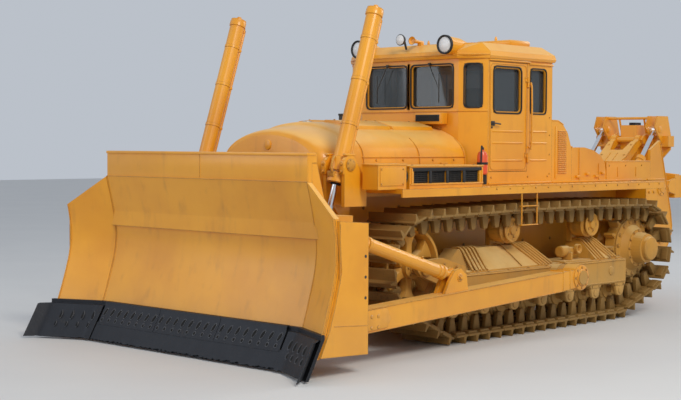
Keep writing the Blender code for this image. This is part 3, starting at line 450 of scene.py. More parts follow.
def alongBelt(points, count):  # count even places: point and direction
    ends = points[1:] + points[:1]
    lengths = [(end - start).length for start, end in zip(points, ends)]
    pitch = sum(lengths) / count
    places = []
    for i in range(count):
        left = i * pitch
        for start, end, length in zip(points, ends, lengths):
            if left <= length and length > 1e-6:
                way = (end - start) / length
                places.append((start + way * left, way))
                break
            left -= length
    return places


def shoe(shape, at, way, pitch):
    out = Vector((way.y, -way.x))

    def spot(share, height):
        point = at + way * (share * pitch) + out * height
        return (point.x, point.y)

    def solid(low, high, outline, bevel):
        shape.prism([spot(a, b) for a, b in outline], "X", track["middle"] + low, track["middle"] + high,
                    bevel)

    half = track["width"] / 2
    low, high = track["plateLow"], track["plateHigh"]
    top = high + track["grouser"]
    solid(-half, half, ((-0.47, low), (0.47, low), (0.49, high - 0.008), (0.40, high), (0.33, high),
                        (0.24, top), (0.16, top), (0.11, high), (-0.44, high), (-0.49, high - 0.008)),
          0.003)
    for side in (-1, 1):
        inner, outer = sorted((side * 0.045, side * 0.105))
        solid(inner, outer, ((-0.42, 0.002), (0.30, 0.002), (0.42, 0.03), (0.42, low), (-0.42, low)), 0.004)
        inner, outer = sorted((side * 0.135, side * 0.195))
        solid(inner, outer, ((-0.30, low), (-0.17, -0.085), (-0.12, -0.10), (0.12, -0.10), (0.17, -0.085),
                             (0.30, low)), 0.006)
        inner, outer = sorted((side * 0.225, side * 0.315))
        solid(inner, outer, ((-0.40, low), (-0.34, 0.055), (0.34, 0.055), (0.40, low)), 0.004)


def buildShoes(shape):
    line = beltLine()
    total = sum((b - a).length for a, b in zip(line, line[1:] + line[:1]))
    count = round(total / track["pitch"])
    for at, way in alongBelt(line, count):
        shoe(shape, at, way, total / count)


bothSides(buildShoes, "shoes", "tractor", "track_steel", shoeSteel, ("track",), smoothAngle=40)
print("tracks built")


# Blade: smooth mouldboard skin, weld beads, bolted edges
mouldboard = ((-2.317, 1.846), (-2.245, 1.568), (-2.185, 1.26), (-2.19, 1.05), (-2.24, 0.825),
              (-2.381, 0.392), (-2.49, 0.20))
wingHeights = (1.51, 1.36, 1.15, 0.98, 0.80, 0.392, 0.20)
blade = {"half": 1.611, "wingHalf": 2.14, "sweep": 0.25, "skin": 0.012, "visorTop": (-2.318, 2.131),
         "bead": 0.008, "edgeThick": 0.045, "edgeLow": 0.022, "endPlate": 0.035,
         "holes": 24, "centreHalf": 1.47}


def mouldboardY(z):
    for (y0, z0), (y1, z1) in zip(mouldboard, mouldboard[1:]):
        if z1 <= z <= z0:
            return y0 + (y1 - y0) * (z - z0) / (z1 - z0)
    return mouldboard[-1][0]


def bladeFace(x):  # the smooth front profile at x, top to bottom
    inner = curvePoints([(x, y - blade["skin"], z) for y, z in mouldboard], 4)
    outer = curvePoints([(x, mouldboardY(z) - blade["sweep"] - blade["skin"], z) for z in wingHeights], 4)
    share = max(0.0, (abs(x) - blade["half"]) / (blade["wingHalf"] - blade["half"]))
    return [a.lerp(b, share) for a, b in zip(inner, outer)]


def buildBladeSkin():
    shape = Shape()
    half, wing = blade["half"] - 0.004, blade["wingHalf"] - 0.004
    shape.sheet([bladeFace(-half + 2 * half * k / 24) for k in range(25)], 0.008)
    for side in (-1, 1):
        shape.sheet([bladeFace(side * (half + 0.012 + (wing - half - 0.012) * k / 6)) for k in range(7)],
                    0.008)
    y, z = blade["visorTop"]
    shape.box((-half - 0.004, y - 0.006, mouldboard[0][1] + 0.004), (half + 0.004, y + 0.003, z - 0.004),
              0.002)
    shape.box((-half - 0.010, y - 0.018, z - 0.030), (half + 0.010, y + 0.110, z - 0.001), 0.006)
    shape.make("bladeSkin", "blade_group", "yellow_paint", thinBladePaint, smoothAngle=30)

    beads = Shape()
    for x in (-blade["half"], blade["half"]):
        beads.pipe(bladeFace(x), blade["bead"], 8, 1)
    beads.pipe([(-half, y - 0.010, mouldboard[0][1]), (half, y - 0.010, mouldboard[0][1])], 0.006, 8)
    beads.box((-0.004, y - 0.010, mouldboard[0][1] + 0.01), (0.004, y, z - 0.03), 0.001)
    outside = blade["wingHalf"] + blade["endPlate"] - 0.002
    for side in (-1, 1):
        beads.pipe([(side * outside, -2.52, 0.50), (side * outside, -2.06, 0.47)], 0.006, 8)
        beads.pipe([(side * outside, -2.44, 0.90), (side * outside, -2.44, 1.46)], 0.005, 8)
        beads.pipe([(side * blade["wingHalf"] - side * 0.012, p.y - 0.004, p.z)
                    for p in bladeFace(side * blade["wingHalf"])[::3]], 0.009, 8, 2)
    beads.make("bladeWelds", "blade_group", "yellow_paint", bladePaint)

    # dark discs on the end plates: painted shade standing in for three holes on each side
    holes = Shape()
    for side in (-1, 1):
        for height in (0.74, 0.94, 1.14):
            holes.lathe((side * (outside - 0.003), -2.09, height), (side, 0, 0),
                        ((0, 0.016), (0.006, 0.016)), 12)
    holes.make("endPlateHoleShades", "blade_group", "dark_trim", trim)


def edgeFront(x, z):  # the cutting edge's front face
    sweep = max(0.0, (abs(x) - blade["half"]) * blade["sweep"] / (blade["wingHalf"] - blade["half"]))
    (y0, z0), (y1, z1) = mouldboard[-2:]
    slope = (y0 - y1) / (z0 - z1)
    return y0 - blade["edgeThick"] - sweep + slope * (min(z, z0) - z0)


def wornPlate(shape, low, high, bottom, top, thick, jag):  # its tips turn forward past the wings
    steps = max(3, round((high - low) / 0.025))
    rows = []
    for k in range(steps + 1):
        x = low + (high - low) * k / steps
        foot = bottom + (random.random() * jag if jag else 0)
        levels = [foot + (top - foot) * i / 4 for i in range(5)]
        turned = thick + 1.3 * max(0.0, abs(x) - blade["wingHalf"])
        rows.append([(x, edgeFront(x, z) - turned, z) for z in levels]
                    + [(x, edgeFront(x, top) + 0.01 - turned + thick, top + 0.004)])
    shape.sheet(rows, 0.010)


def buildCuttingEdge():
    shape = Shape()
    half = blade["centreHalf"]
    third = 2 * half / 3
    for k in range(3):
        wornPlate(shape, -half + k * third + 0.004, -half + (k + 1) * third - 0.004, 0.19, 0.425, 0.020,
                  0.0)
    wornPlate(shape, -half - 0.02, half + 0.02, blade["edgeLow"], 0.20, 0.014, 0.022)
    for side in (-1, 1):
        low, high = sorted((side * (half + 0.03), side * (blade["wingHalf"] + 0.08)))
        wornPlate(shape, low, high, blade["edgeLow"], 0.375, 0.026, 0.010)
    shape.make("edgePlates", "blade_group", "edge_steel", edgeSteel)

    dark, rimsAndHighlights = Shape(), Shape()
    spread = 2 * (half - 0.06)

    def oval(target, x, z, proud, wide, tall, lean):
        y = edgeFront(x, z) - proud
        ring = [(x + wide * math.cos(a) + lean * math.sin(a), z + tall * math.sin(a))
                for a in (k * math.pi / 8 for k in range(16))]
        slope = (mouldboard[-2][0] - mouldboard[-1][0]) / (mouldboard[-2][1] - mouldboard[-1][1])
        target.rings([[(px, y + slope * (pz - z) + back, pz) for px, pz in ring] for back in (0.0, 0.02)])

    def hole(x, z, proud, wide, tall, lean):  # a near-black oval, painted shade in the hole, in a brighter worn rim that is partly painted highlight
        oval(rimsAndHighlights, x, z, proud, wide + 0.009, tall + 0.010, lean)
        oval(dark, x, z, proud + 0.002, wide, tall, lean)

    for k in range(blade["holes"]):
        x = -spread / 2 + spread * k / (blade["holes"] - 1)
        hole(x, 0.325, 0.034, 0.018, 0.036, 0.012)
        hole(x - 0.012, 0.243, 0.034, 0.014, 0.014, 0.0)
    for side in (-1, 1):
        for k in range(4):
            x = side * (half + 0.13 + 0.125 * k)
            hole(x, 0.27, 0.040, 0.019, 0.040, side * 0.008)
            hole(x + side * 0.02, 0.17, 0.040, 0.015, 0.024, side * 0.004)
    dark.make("edgeHoleShades", "blade_group", "dark_trim", holeShadeFinish)
    rimsAndHighlights.make("edgeHoleRimsAndHighlights", "blade_group", "edge_steel", wornRimAndHighlightSteel)


buildBladeSkin()
buildCuttingEdge()

# Back of the blade: gussets, pins and bolts
armX = {"outer": 1.92, "eye": (1.95, 0.65), "braceRear": (-0.32, 0.80), "braceFront": (-1.90, 1.28)}


def bladeBack(shape):
    for x in (0.28, 0.83, 1.05, 1.43):
        shape.prism(((-2.17, 1.26), (-1.99, 1.30), (-1.96, 0.60), (-2.22, 0.62), (-2.13, 0.95)), "X",
                    x - 0.011, x + 0.011, 0.003)
    for z in (0.36, 0.58, 1.32, 1.48):
        for k in range(6):
            shape.bolt((0.20 + 0.27 * k, -1.968, z), (0, 1, 0), 0.013)
    shape.lathe((1.0945 - 0.12, -1.80, 0.55), (1, 0, 0),
                ((0, 0.045), (0.02, 0.05), (0.22, 0.05), (0.24, 0.045)), 20)
    shape.mirror()


back = Shape()
bladeBack(back)
back.make("bladeGussets", "blade_group", "yellow_paint", bladePaint)


def armFittings(shape):
    outer = armX["outer"]
    y, z = armX["eye"]
    shape.lathe((outer - 0.004, y, z), (1, 0, 0), ((0, 0.150), (0.014, 0.150), (0.020, 0.135),
                                                   (0.020, 0.10),
                                                 (0.034, 0.095), (0.038, 0.06)), 32)
    for a in circlePoints((y, z), 0.122, 8):
        shape.bolt((outer + 0.014, *a), (1, 0, 0), 0.012)
    shape.box((1.735, 1.58, 0.515), (1.925, 1.605, 0.755), 0.004)
    shape.box((1.735, 1.72, 0.53), (1.925, 1.745, 0.755), 0.004)
    y, z = armX["braceRear"]
    shape.lathe((1.745, y, z), (1, 0, 0), ((0, 0.040), (0.005, 0.046), (0.168, 0.046), (0.176, 0.040)), 24)
    shape.bolt((1.921, y, z), (1, 0, 0), 0.022)
    y, z = armX["braceFront"]
    shape.lathe((1.742, y, z), (1, 0, 0), ((0, 0.040), (0.005, 0.046), (0.172, 0.046), (0.178, 0.040)), 24)
    for k in range(4):
        shape.bolt((outer - 0.001, -1.93 + 0.10 * k, 0.50), (1, 0, 0), 0.017)
        shape.bolt((outer - 0.001, -1.93 + 0.10 * k, 0.39), (1, 0, 0), 0.017)
    shape.prism(((-1.985, 0.345), (-1.985, 0.560), (-1.50, 0.578), (-1.44, 0.46), (-1.50, 0.375)), "X",
                outer - 0.002, outer + 0.010, 0.003)
    along = Vector((0, armX["braceRear"][0] - armX["braceFront"][0],
                    armX["braceRear"][1] - armX["braceFront"][1]))
    start = Vector((1.83, *armX["braceFront"]))
    for share, radius in ((0.125, 0.078), (0.82, 0.078), (0.86, 0.082)):
        shape.lathe(start + along * share, along, ((-0.022, radius - 0.006), (-0.018, radius),
                                                   (0.018, radius),
                                                   (0.022, radius - 0.006)), 24)
    spot = start + along * 0.62 + Vector((0.045, 0.02, 0.055))
    shape.lathe(spot, (0.5, -0.2, 0.8), ((0, 0.010), (0.018, 0.010), (0.022, 0.006)), 10)
    for side in (1.737, 1.923):
        shape.pipe([(side, -1.96, 0.566), (side, 1.60, 0.735)], 0.006, 6)
        shape.pipe([(side, -1.96, 0.334), (side, 1.60, 0.513)], 0.006, 6)


bothSides(armFittings, "armFittings", "blade_group", "yellow_paint", bladePaint)

# Lift cylinders
lift = {"x": 1.0945, "trunnion": (-1.33, 2.0), "eye": (-1.80, 0.55), "above": 1.745, "below": 0.17}
liftUp = (Vector((0, *lift["trunnion"])) - Vector((0, *lift["eye"]))).normalized()
liftBack = Vector((0, liftUp.z, -liftUp.y))


def liftSpot(up, back=0.0, out=0.0):
    return Vector((lift["x"] + out, *lift["trunnion"])) + liftUp * up + liftBack * back


def barrelFittings(shape):
    top = lift["above"]
    shape.pipe([liftSpot(0.13, 0.082), liftSpot(0.17, 0.118), liftSpot(0.24, 0.124),
                liftSpot(top - 0.20, 0.124),
                liftSpot(top - 0.10, 0.122), liftSpot(top - 0.03, 0.098), liftSpot(top + 0.012, 0.05)],
               0.017, 10)
    for up in (0.45, 0.95, 1.42):
        shape.lathe(liftSpot(up - 0.018), liftUp, ((0, 0.0862), (0.002, 0.0895), (0.034, 0.0895),
                                                   (0.036, 0.0862)), 28,
                    True)
        shape.box(liftSpot(up, 0.118, -0.022) - Vector((0, 0.035, 0.016)),
                  liftSpot(up, 0.118, 0.022) + Vector((0, 0.020, 0.016)), 0.005)
    shape.lathe(liftSpot(top - 0.070), liftUp, ((0, 0.090), (0.004, 0.096), (0.060, 0.096), (0.075, 0.088),
                                                (0.090, 0.060), (0.096, 0.030), (0.120, 0.026),
                                                (0.126, 0.018)), 28)
    for k in range(8):
        angle = k * math.pi / 4 + 0.2
        spot = liftSpot(top + 0.006, 0.070 * math.cos(angle), 0.070 * math.sin(angle))
        shape.bolt(spot, liftUp, 0.009)
    low = -lift["below"]
    shape.lathe(liftSpot(low - 0.036), liftUp, ((0, 0.070), (0.006, 0.098), (0.070, 0.100), (0.078, 0.092),
                                                (0.120, 0.090)), 28, True)
    for k in range(8):
        angle = k * math.pi / 4
        spot = liftSpot(low - 0.030, 0.082 * math.cos(angle), 0.082 * math.sin(angle))
        shape.bolt(spot, -liftUp, 0.009)


def barrelGrease(shape):  # dark fittings round the trunnion
    for side in (-1, 1):
        shape.lathe(liftSpot(0, 0, side * 0.150), (side, 0, 0), ((0, 0.060), (0.006, 0.066), (0.016, 0.066),
                                                               (0.020, 0.050), (0.030, 0.030)), 20)
        for k in range(6):
            angle = k * math.pi / 3
            spot = liftSpot(0.048 * math.sin(angle), 0.048 * math.cos(angle), side * 0.166)
            shape.bolt(spot, (side, 0, 0), 0.008)
    shape.pipe([liftSpot(0.10, 0.09), liftSpot(0.08, 0.13), liftSpot(0.02, 0.14), liftSpot(-0.05, 0.12),
                liftSpot(-0.10, 0.095)], 0.014, 8)
    shape.pipe([liftSpot(-0.11, -0.085, 0.03), liftSpot(-0.10, -0.125, 0.03), liftSpot(-0.02, -0.135, 0.02),
                liftSpot(0.06, -0.10, 0.0)], 0.013, 8)
    shape.box(liftSpot(-0.13, -0.10, -0.045) - Vector((0, 0.012, 0.03)),
              liftSpot(-0.13, -0.10, 0.045) + Vector((0, 0.030, 0.03)), 0.006)


def rodWiper(shape):
    shape.lathe(liftSpot(-lift["below"] - 0.052), liftUp, ((0, 0.036), (0.004, 0.052), (0.020, 0.056),
                                                           (0.024, 0.040)), 24, True)


bothSides(barrelFittings, "liftBarrelFittings", "{side}_lift_barrel", "yellow_paint", paint)
bothSides(barrelGrease, "liftTrunnionFittings", "{side}_lift_barrel", "worn_paint", gearPaint)
bothSides(rodWiper, "liftRodWiper", "{side}_lift_barrel", "dark_trim", rubber)


def rodEye(shape):
    y, z = lift["eye"]
    shape.lathe((lift["x"] - 0.039, y, z), (1, 0, 0),
                ((0, 0.068), (0.006, 0.074), (0.072, 0.074), (0.078, 0.068)), 28)
    spot = Vector((lift["x"], y, z))
    shape.lathe(spot + liftUp * 0.055, liftUp, ((0, 0.050), (0.020, 0.046), (0.060, 0.040),
                                                (0.075, 0.034)), 20)


bothSides(rodEye, "liftRodEye", "{side}_lift_rod", "yellow_paint", bladePaint)
print("blade and cylinders built")

# Hood: one smooth pressed shell
hoodLook = {"wall": 0.020, "front": -1.33, "deck": 1.74, "rear": 1.025}


def hoodShell():
    half = ((0.88, 0.005), (0.905, 0.14), (0.90, 0.32), (0.86, 0.44), (0.74, 0.55), (0.55, 0.64),
            (0.30, 0.705), (0.0, 0.73))
    front = hoodLook["front"]
    stations = ((front + 0.002, 0.79, 0.79), (front + 0.05, 0.88, 0.86), (front + 0.18, 0.95, 0.90),
                (-0.92, 0.985, 0.94), (-0.80, 1.0, 1.0), (-0.2, 1.0, 1.0), (0.4, 1.0, 1.0),
                (hoodLook["rear"], 1.0, 1.0))
    ring = half[:-1] + ((0.0, 0.73),) + tuple((-x, z) for x, z in half[-2::-1])
    arch = [(p.x, p.y) for p in (Vector((a.x, a.y)) for a in curvePoints([(x, z, 0) for x, z in ring], 4))]
    line = curvePoints(stations, 4)
    shape = Shape()
    rows = [[(x * w, y, hoodLook["deck"] + z * h) for x, z in arch] for y, w, h in line]
    shape.sheet(rows, -hoodLook["wall"])
    nose = [(x, y, z) for x, y, z in rows[0]]
    inner = [(x * 0.55, front - 0.012, hoodLook["deck"] + 0.02 + (z - hoodLook["deck"]) * 0.62)
             for x, y, z in nose]
    foot = [(x * 0.2, front - 0.014, hoodLook["deck"] + 0.04 + (z - hoodLook["deck"]) * 0.3)
            for x, y, z in nose]
    shape.sheet([nose, [(x * 0.94, front - 0.006, hoodLook["deck"] + (z - hoodLook["deck"]) * 0.95)
                        for x, y, z in nose], inner, foot], 0)
    shape.make("hoodShell", "tractor", "yellow_paint", thinPaint, smoothAngle=50, replaces=("hood",))


def hoodDetails(shape):
    for z, x in ((2.075, 0.902),):
        shape.box((x - 0.010, -0.78, z - 0.007), (x + 0.010, 1.02, z + 0.007), 0.004)
    for y in (-0.76, 0.18, 1.0):
        outline = [(0.906, 1.76), (0.912, 1.88), (0.909, 2.06), (0.868, 2.18), (0.748, 2.29)]
        shape.pipe([(x, y, z) for x, z in outline], 0.006, 6, 4)
    for y in (-0.55, -0.10, 0.42, 0.80):
        shape.bolt((0.905, y, 2.04), (1, 0, 0), 0.011)
    for y in (-0.30, 0.60):
        shape.pipe([(0.905, y - 0.05, 2.0), (0.940, y - 0.045, 2.0), (0.940, y + 0.045, 2.0),
                    (0.905, y + 0.05, 2.0)],
                   0.007, 8, 3)
    # raised top covers
    for low, high in ((-0.55, 0.10), (0.14, 0.86)):
        shape.prism(((0.06, 2.445), (0.10, 2.496), (0.30, 2.484), (0.52, 2.428), (0.54, 2.38)), "Y", low,
                    high, 0.008)
        shape.bolt((0.20, low + 0.06, 2.492), (0.1, 0, 1), 0.010)
        shape.bolt((0.20, high - 0.06, 2.492), (0.1, 0, 1), 0.010)
    shape.mirror()


hoodShell()
details = Shape()
hoodDetails(details)
details.lathe((0.34, -1.30, 2.18), (0.1, -1, 0.1), ((0, 0.034), (0.020, 0.034), (0.028, 0.026),
                                                    (0.030, 0.014)), 18)
details.lathe((-0.34, -1.30, 2.18), (-0.1, -1, 0.1),
              ((0, 0.034), (0.020, 0.034), (0.028, 0.026), (0.030, 0.014)), 18)
details.lathe((0.0, -1.325, 2.10), (0, -1, 0.0), ((0, 0.030), (0.012, 0.030), (0.018, 0.020)), 18)
details.prism([(x * 0.9, z) for x, z in circlePoints((0.0, 2.205), 0.055, 24)], "Y", -1.352, -1.325, 0.004)
details.box((0.20, 0.90, 2.46), (0.62, 1.029, 2.60), 0.012)
details.make("hoodFittings", "tractor", "yellow_paint", paint, smoothAngle=40)

vent = Shape()
# black panel behind the slats: painted shade in the vent's openings
vent.box((0.225, 0.893, 2.495), (0.595, 0.905, 2.575), 0.004)
for k in range(5):
    vent.box((0.235, 0.885, 2.502 + 0.0145 * k), (0.585, 0.902, 2.508 + 0.0145 * k), 0.001)
vent.make("hoodVent", "tractor", "dark_trim", rubber)
cap = Shape()
cap.lathe((0.0, -0.73, 2.415), (0, 0, 1), ((0, 0.075), (0.035, 0.075), (0.045, 0.060), (0.060, 0.055),
                                           (0.066, 0.030)), 24)
cap.make("radiatorCap", "tractor", "rod_chrome", zinc)

# Radiator guard: slatted grille, bolts, towing eyes
guard = Shape()
for k in range(13):
    z = 1.10 + 0.043 * k
    guard.prism(((-1.300, z), (-1.262, z + 0.022), (-1.258, z + 0.018), (-1.296, z - 0.004)), "X", -0.67,
                0.67)
for x in (-0.45, -0.15, 0.15, 0.45):
    guard.box((x - 0.014, -1.318, 1.085), (x + 0.014, -1.235, 1.655), 0.003)
for x in (-0.74, 0.74):
    for z in (1.10, 1.28, 1.46, 1.64):
        guard.bolt((x, -1.331, z), (0, -1, 0), 0.017)
for x in (-0.40, 0.40):
    guard.lathe((x, -1.25, 0.90), (0, -0.75, -0.65), ((0, 0.09), (0.02, 0.09), (0.025, 0.06)), 20)
guard.make("guardGrille", "tractor", "yellow_paint", paint)
core = Shape()
core.box((-0.679, -1.240, 1.081), (0.679, -1.231, 1.659))
for k in range(60):
    core.box((-0.67 + 0.0225 * k, -1.247, 1.085), (-0.664 + 0.0225 * k, -1.240, 1.655))
core.make("radiatorCore", "tractor", "dark_trim", trim)


def cheekFittings(shape):
    y, z = lift["trunnion"]
    for side in (-1, 1):
        middle = lift["x"] + side * 0.1325
        shape.box((middle - 0.030, y - 0.115, z - 0.10), (middle + 0.030, y - 0.088, z + 0.04), 0.005)
        for height in (z - 0.07, z + 0.01):
            shape.bolt((middle, y - 0.115, height), (0, -1, 0), 0.014)
        shape.box((middle - 0.028, y - 0.07, z + 0.095), (middle + 0.028, y + 0.07, z + 0.118), 0.005)
    shape.prism(((y + 0.10, 1.60), (y + 0.10, 1.56), (y + 0.33, 1.30), (y + 0.36, 1.30),
                 (y + 0.36, 1.60)), "X",
                0.86, 0.90, 0.004)


bothSides(cheekFittings, "trunnionCaps", "tractor", "yellow_paint", paint)


# Side boxes: mesh grilles and the round intake
def boxGrille(shape):
    for i in range(4):
        start = -0.63 + i * 0.29
        # black backing sheet behind each mesh panel: painted shade of the box's inside
        shape.box((1.484, start + 0.004, 1.804), (1.490, start + 0.256, 1.936))
        for k in range(11):
            shape.box((1.490, start + 0.010 + 0.023 * k, 1.806), (1.500, start + 0.016 + 0.023 * k, 1.934))
        for k in range(6):
            shape.box((1.492, start + 0.004, 1.814 + 0.022 * k), (1.504, start + 0.256, 1.819 + 0.022 * k))
    for i in range(3):
        start = -0.63 + i * 0.29
        shape.box((1.512, start + 0.255, 1.798), (1.5245, start + 0.295, 1.945), 0.003)
    shape.box((1.512, -0.655, 1.930), (1.526, 0.535, 1.966), 0.004)
    shape.lathe((1.41, -0.752, 1.875), (0, 1, 0), ((0, 0.095), (0.012, 0.100), (0.040, 0.100),
                                                   (0.044, 0.085),
                                                  (0.020, 0.080), (0.020, 0.02)), 28)


def boxTrim(shape):
    for y in (-0.665, 0.545):
        shape.box((1.512, y - 0.010, 1.785), (1.530, y + 0.010, 1.960), 0.003)
    shape.box((1.512, -0.69, 1.780), (1.532, 0.56, 1.796), 0.004)
    shape.box((0.935, -0.71, 1.975), (1.535, 0.57, 1.992), 0.006)
    for y in (-0.6, -0.06, 0.46):
        shape.bolt((1.47, y, 1.992), (0, 0, 1), 0.010)
    shape.box((1.294, -1.21, 1.995), (1.528, -0.742, 2.012), 0.006)
    shape.box((1.516, -1.17, 1.78), (1.528, -0.79, 1.975), 0.005)
    for y, z in ((-1.15, 1.80), (-1.15, 1.955), (-0.81, 1.80), (-0.81, 1.955)):
        shape.bolt((1.528, y, z), (1, 0, 0), 0.008)
    for y in (-0.9, 1.0):
        shape.box((0.94, y, 1.7401), (1.60, y + 0.03, 1.752), 0.003)


bothSides(boxGrille, "sideGrille", "tractor", "dark_trim", rubber)
bothSides(boxTrim, "sideBoxTrim", "tractor", "yellow_paint", paint)
print("hood and nose built")


# Cab: seals, wipers, handles, pressed ribs, gutters
cab = {"half": 1.10, "front": 1.03, "frontHalf": 0.78, "corner": 1.19, "rear": 2.49, "top": 3.24,
       "deck": 1.74}


def roundRect(low, high, radius, steps=5):
    points = []
    for cx, cy, start in ((high[0] - radius, high[1] - radius, 0), (low[0] + radius, high[1] - radius, 90),
                          (low[0] + radius, low[1] + radius, 180),
                          (high[0] - radius, low[1] + radius, 270)):
        for k in range(steps + 1):
            angle = math.radians(start + 90 * k / steps)
            points.append((cx + radius * math.cos(angle), cy + radius * math.sin(angle)))
    return points


def hoop(shape, place, low, high, radius, width, depth, centre=0.0):
    # a flat frame round an opening; place(u, v, out) gives the point
    outer = roundRect((low[0] - width, low[1] - width), (high[0] + width, high[1] + width), radius + width)
    inner = roundRect(low, high, radius)
    half = depth / 2
    section = [(outer, -half), (outer, half * 0.6), (inner, half), (inner, -half)]
    rings = [[Vector(place(u, v, out + centre)) for u, v in line] for line, out in section]
    rows = [[shape.mesh.verts.new(point) for point in ring] for ring in rings]
    count = len(rows[0])
    for before, after in zip(rows, rows[1:] + rows[:1]):
        for i in range(count):
            j = (i + 1) % count
            shape.mesh.faces.new((before[i], before[j], after[j], after[i]))


def onSide(u, v, out):
    return (cab["half"] + out, u, v)


def onFront(u, v, out):
    return (u, cab["front"] - out, v)


def onRear(u, v, out):
    return (u, cab["rear"] + out, v)


cornerLow = Vector((cab["frontHalf"], cab["front"], 0))
cornerHigh = Vector((cab["half"], cab["corner"], 0))
cornerWay = (cornerHigh - cornerLow).normalized()
cornerOut = Vector((cornerWay.y, -cornerWay.x, 0))


def onCorner(u, v, out):
    point = (cornerLow + cornerHigh) / 2 + cornerWay * u + cornerOut * out
    return (point.x, point.y, v)


def cabSeals(shape):
    hoop(shape, onFront, (0.040, 2.665), (0.695, 3.175), 0.05, 0.016, 0.016, 0.002)
    hoop(shape, onCorner, (-0.105, 2.665), (0.105, 3.175), 0.045, 0.014, 0.016, 0.002)
    hoop(shape, onSide, (2.035, 2.605), (2.355, 3.145), 0.05, 0.015, 0.016, 0.002)
    hoop(shape, onRear, (0.03, 2.605), (0.795, 3.145), 0.05, 0.015, 0.016, 0.002)


def doorSeals(shape):
    hoop(shape, onSide, (1.300, 2.605), (1.841, 3.145), 0.06, 0.018, 0.016, 0.002)


def cabTrim(shape):
    half = cab["half"]
    # filled corners inside the pane openings, so that they read as round
    hoop(shape, onFront, (0.052, 2.677), (0.683, 3.163), 0.045, 0.020, 0.012, -0.012)
    hoop(shape, onSide, (2.047, 2.617), (2.343, 3.133), 0.045, 0.020, 0.012, -0.012)
    for z in (2.38, 2.24, 2.03):
        shape.lathe((half - 0.003, 2.02, z), (0, 1, 0),
                    ((0, 0.004), (0.012, 0.013), (0.35, 0.013), (0.362, 0.004)), 10)
    # sill band, gutter with its step, corner strips
    shape.box((half - 0.004, 1.20, 1.746), (half + 0.014, 2.488, 1.770), 0.004)
    shape.box((half - 0.004, 1.20, 3.216), (half + 0.022, 2.00, 3.236), 0.005)
    shape.box((half - 0.004, 2.00, 3.196), (half + 0.022, 2.489, 3.216), 0.005)
    shape.box((half - 0.004, 1.992, 3.196), (half + 0.022, 2.008, 3.236), 0.004)
    shape.prism([onCorner(-0.180, 0, 0.010)[:2], onCorner(0.180, 0, 0.010)[:2],
                 onCorner(0.180, 0, -0.004)[:2],
                 onCorner(-0.180, 0, -0.004)[:2]], "Z", 2.612, 2.636, 0.003)
    shape.box((0.0, cab["front"] - 0.012, 2.610), (cab["frontHalf"], cab["front"] + 0.004, 2.636), 0.004)
    shape.box((-0.018, cab["front"] - 0.010, 2.64), (0.018, cab["front"] + 0.002, 3.20), 0.003)
    for y in (1.06 + 0.2, 1.99, 2.40):
        shape.bolt((half + 0.001, y, 1.83), (1, 0, 0), 0.010)
    for z in (1.86, 2.10, 2.34, 2.56):
        shape.bolt((half, 2.44, z), (1, 0, 0), 0.008)
    # grab rail by the door
    shape.pipe([(half, 2.000, 2.20), (half + 0.045, 2.000, 2.22), (half + 0.045, 2.000, 2.92),
                (half, 2.000, 2.94)],
               0.011, 8, 3)
    # steps up to the deck
    for z, y in ((1.50, 1.36), (1.28, 1.36)):
        shape.box((1.56, y - 0.16, z), (1.606, y + 0.16, z + 0.012), 0.003)
    for y in (1.21, 1.51):
        shape.pipe([(1.585, y, 1.70), (1.590, y, 1.60), (1.590, y, 1.29)], 0.009, 8, 3)


def doorTrim(shape):
    half = cab["half"]
    hoop(shape, onSide, (1.314, 2.619), (1.827, 3.131), 0.055, 0.020, 0.012, -0.012)
    hoop(shape, onSide, (1.240, 1.925), (1.941, 3.180), 0.05, 0.010, 0.010, 0.002)
    for z in (2.38, 2.24, 2.03):
        shape.lathe((half - 0.003, 1.27, z), (0, 1, 0),
                    ((0, 0.004), (0.015, 0.013), (0.60, 0.013), (0.615, 0.004)), 10)
    for z in (2.06, 2.98):
        for k in (-1, 1):
            shape.bolt((half + 0.008, 1.935, z + 0.030 + 0.018 * k), (1, 0, 0), 0.006)


def doorHandle(shape):
    half = cab["half"]
    shape.box((half, 1.245, 2.445), (half + 0.012, 1.315, 2.500), 0.004)
    shape.pipe([(half + 0.010, 1.262, 2.472), (half + 0.038, 1.266, 2.472), (half + 0.042, 1.30, 2.472),
                (half + 0.040, 1.385, 2.464)], 0.009, 8, 4)
    shape.lathe((half, 1.262, 2.425), (1, 0, 0), ((0, 0.013), (0.010, 0.013), (0.013, 0.008)), 12)


def wipers(shape):
    for x, lean in ((0.34, 0.16),):
        base = Vector((x, cab["front"] - 0.02, 3.185))
        tip = base + Vector((lean, -0.010, -0.30))
        shape.bar(base, tip, 0.006, 8, 0.004)
        shape.lathe(base + Vector((0, 0.02, 0)), (0, -1, 0), ((0, 0.018), (0.030, 0.018), (0.036, 0.010)),
                    14)
        shape.box(tip + Vector((-0.004, -0.004, -0.16)), tip + Vector((0.004, 0.008, 0.18)), 0.001)


bothSides(cabSeals, "cabSeals", "tractor", "dark_trim", rubber)
bothSides(cabTrim, "cabTrim", "tractor", "yellow_paint", paint)
bothSides(doorSeals, "doorSeal", "{side}_door", "dark_trim", rubber)
bothSides(doorTrim, "doorTrim", "{side}_door", "yellow_paint", paint)
bothSides(doorHandle, "doorHandle", "{side}_door", "dark_trim", trim)
bothSides(wipers, "wiper", "tractor", "dark_trim", trim)

# Roof: pressed lid, lamps, horn
roof = {"top": 3.4303, "lampX": 0.70, "lampY": 0.875, "lampZ": 3.400, "lampRadius": 0.105}


def podBezel(shape):
    r = roof["lampRadius"]
    shape.lathe((roof["lampX"], roof["lampY"] + 0.012, roof["lampZ"]), (0, -1, 0),
                ((0, r + 0.002), (0.006, r + 0.010), (0.036, r + 0.010), (0.040, r + 0.002),
                 (0.030, r - 0.012),
                 (0.012, r - 0.014)), 32)


def podLens(shape):
    r = roof["lampRadius"] - 0.013
    shape.lathe((roof["lampX"], roof["lampY"], roof["lampZ"]), (0, -1, 0),
                ((-0.002, r), (0.012, r), (0.020, r * 0.85), (0.026, r * 0.55), (0.029, r * 0.15)), 28)


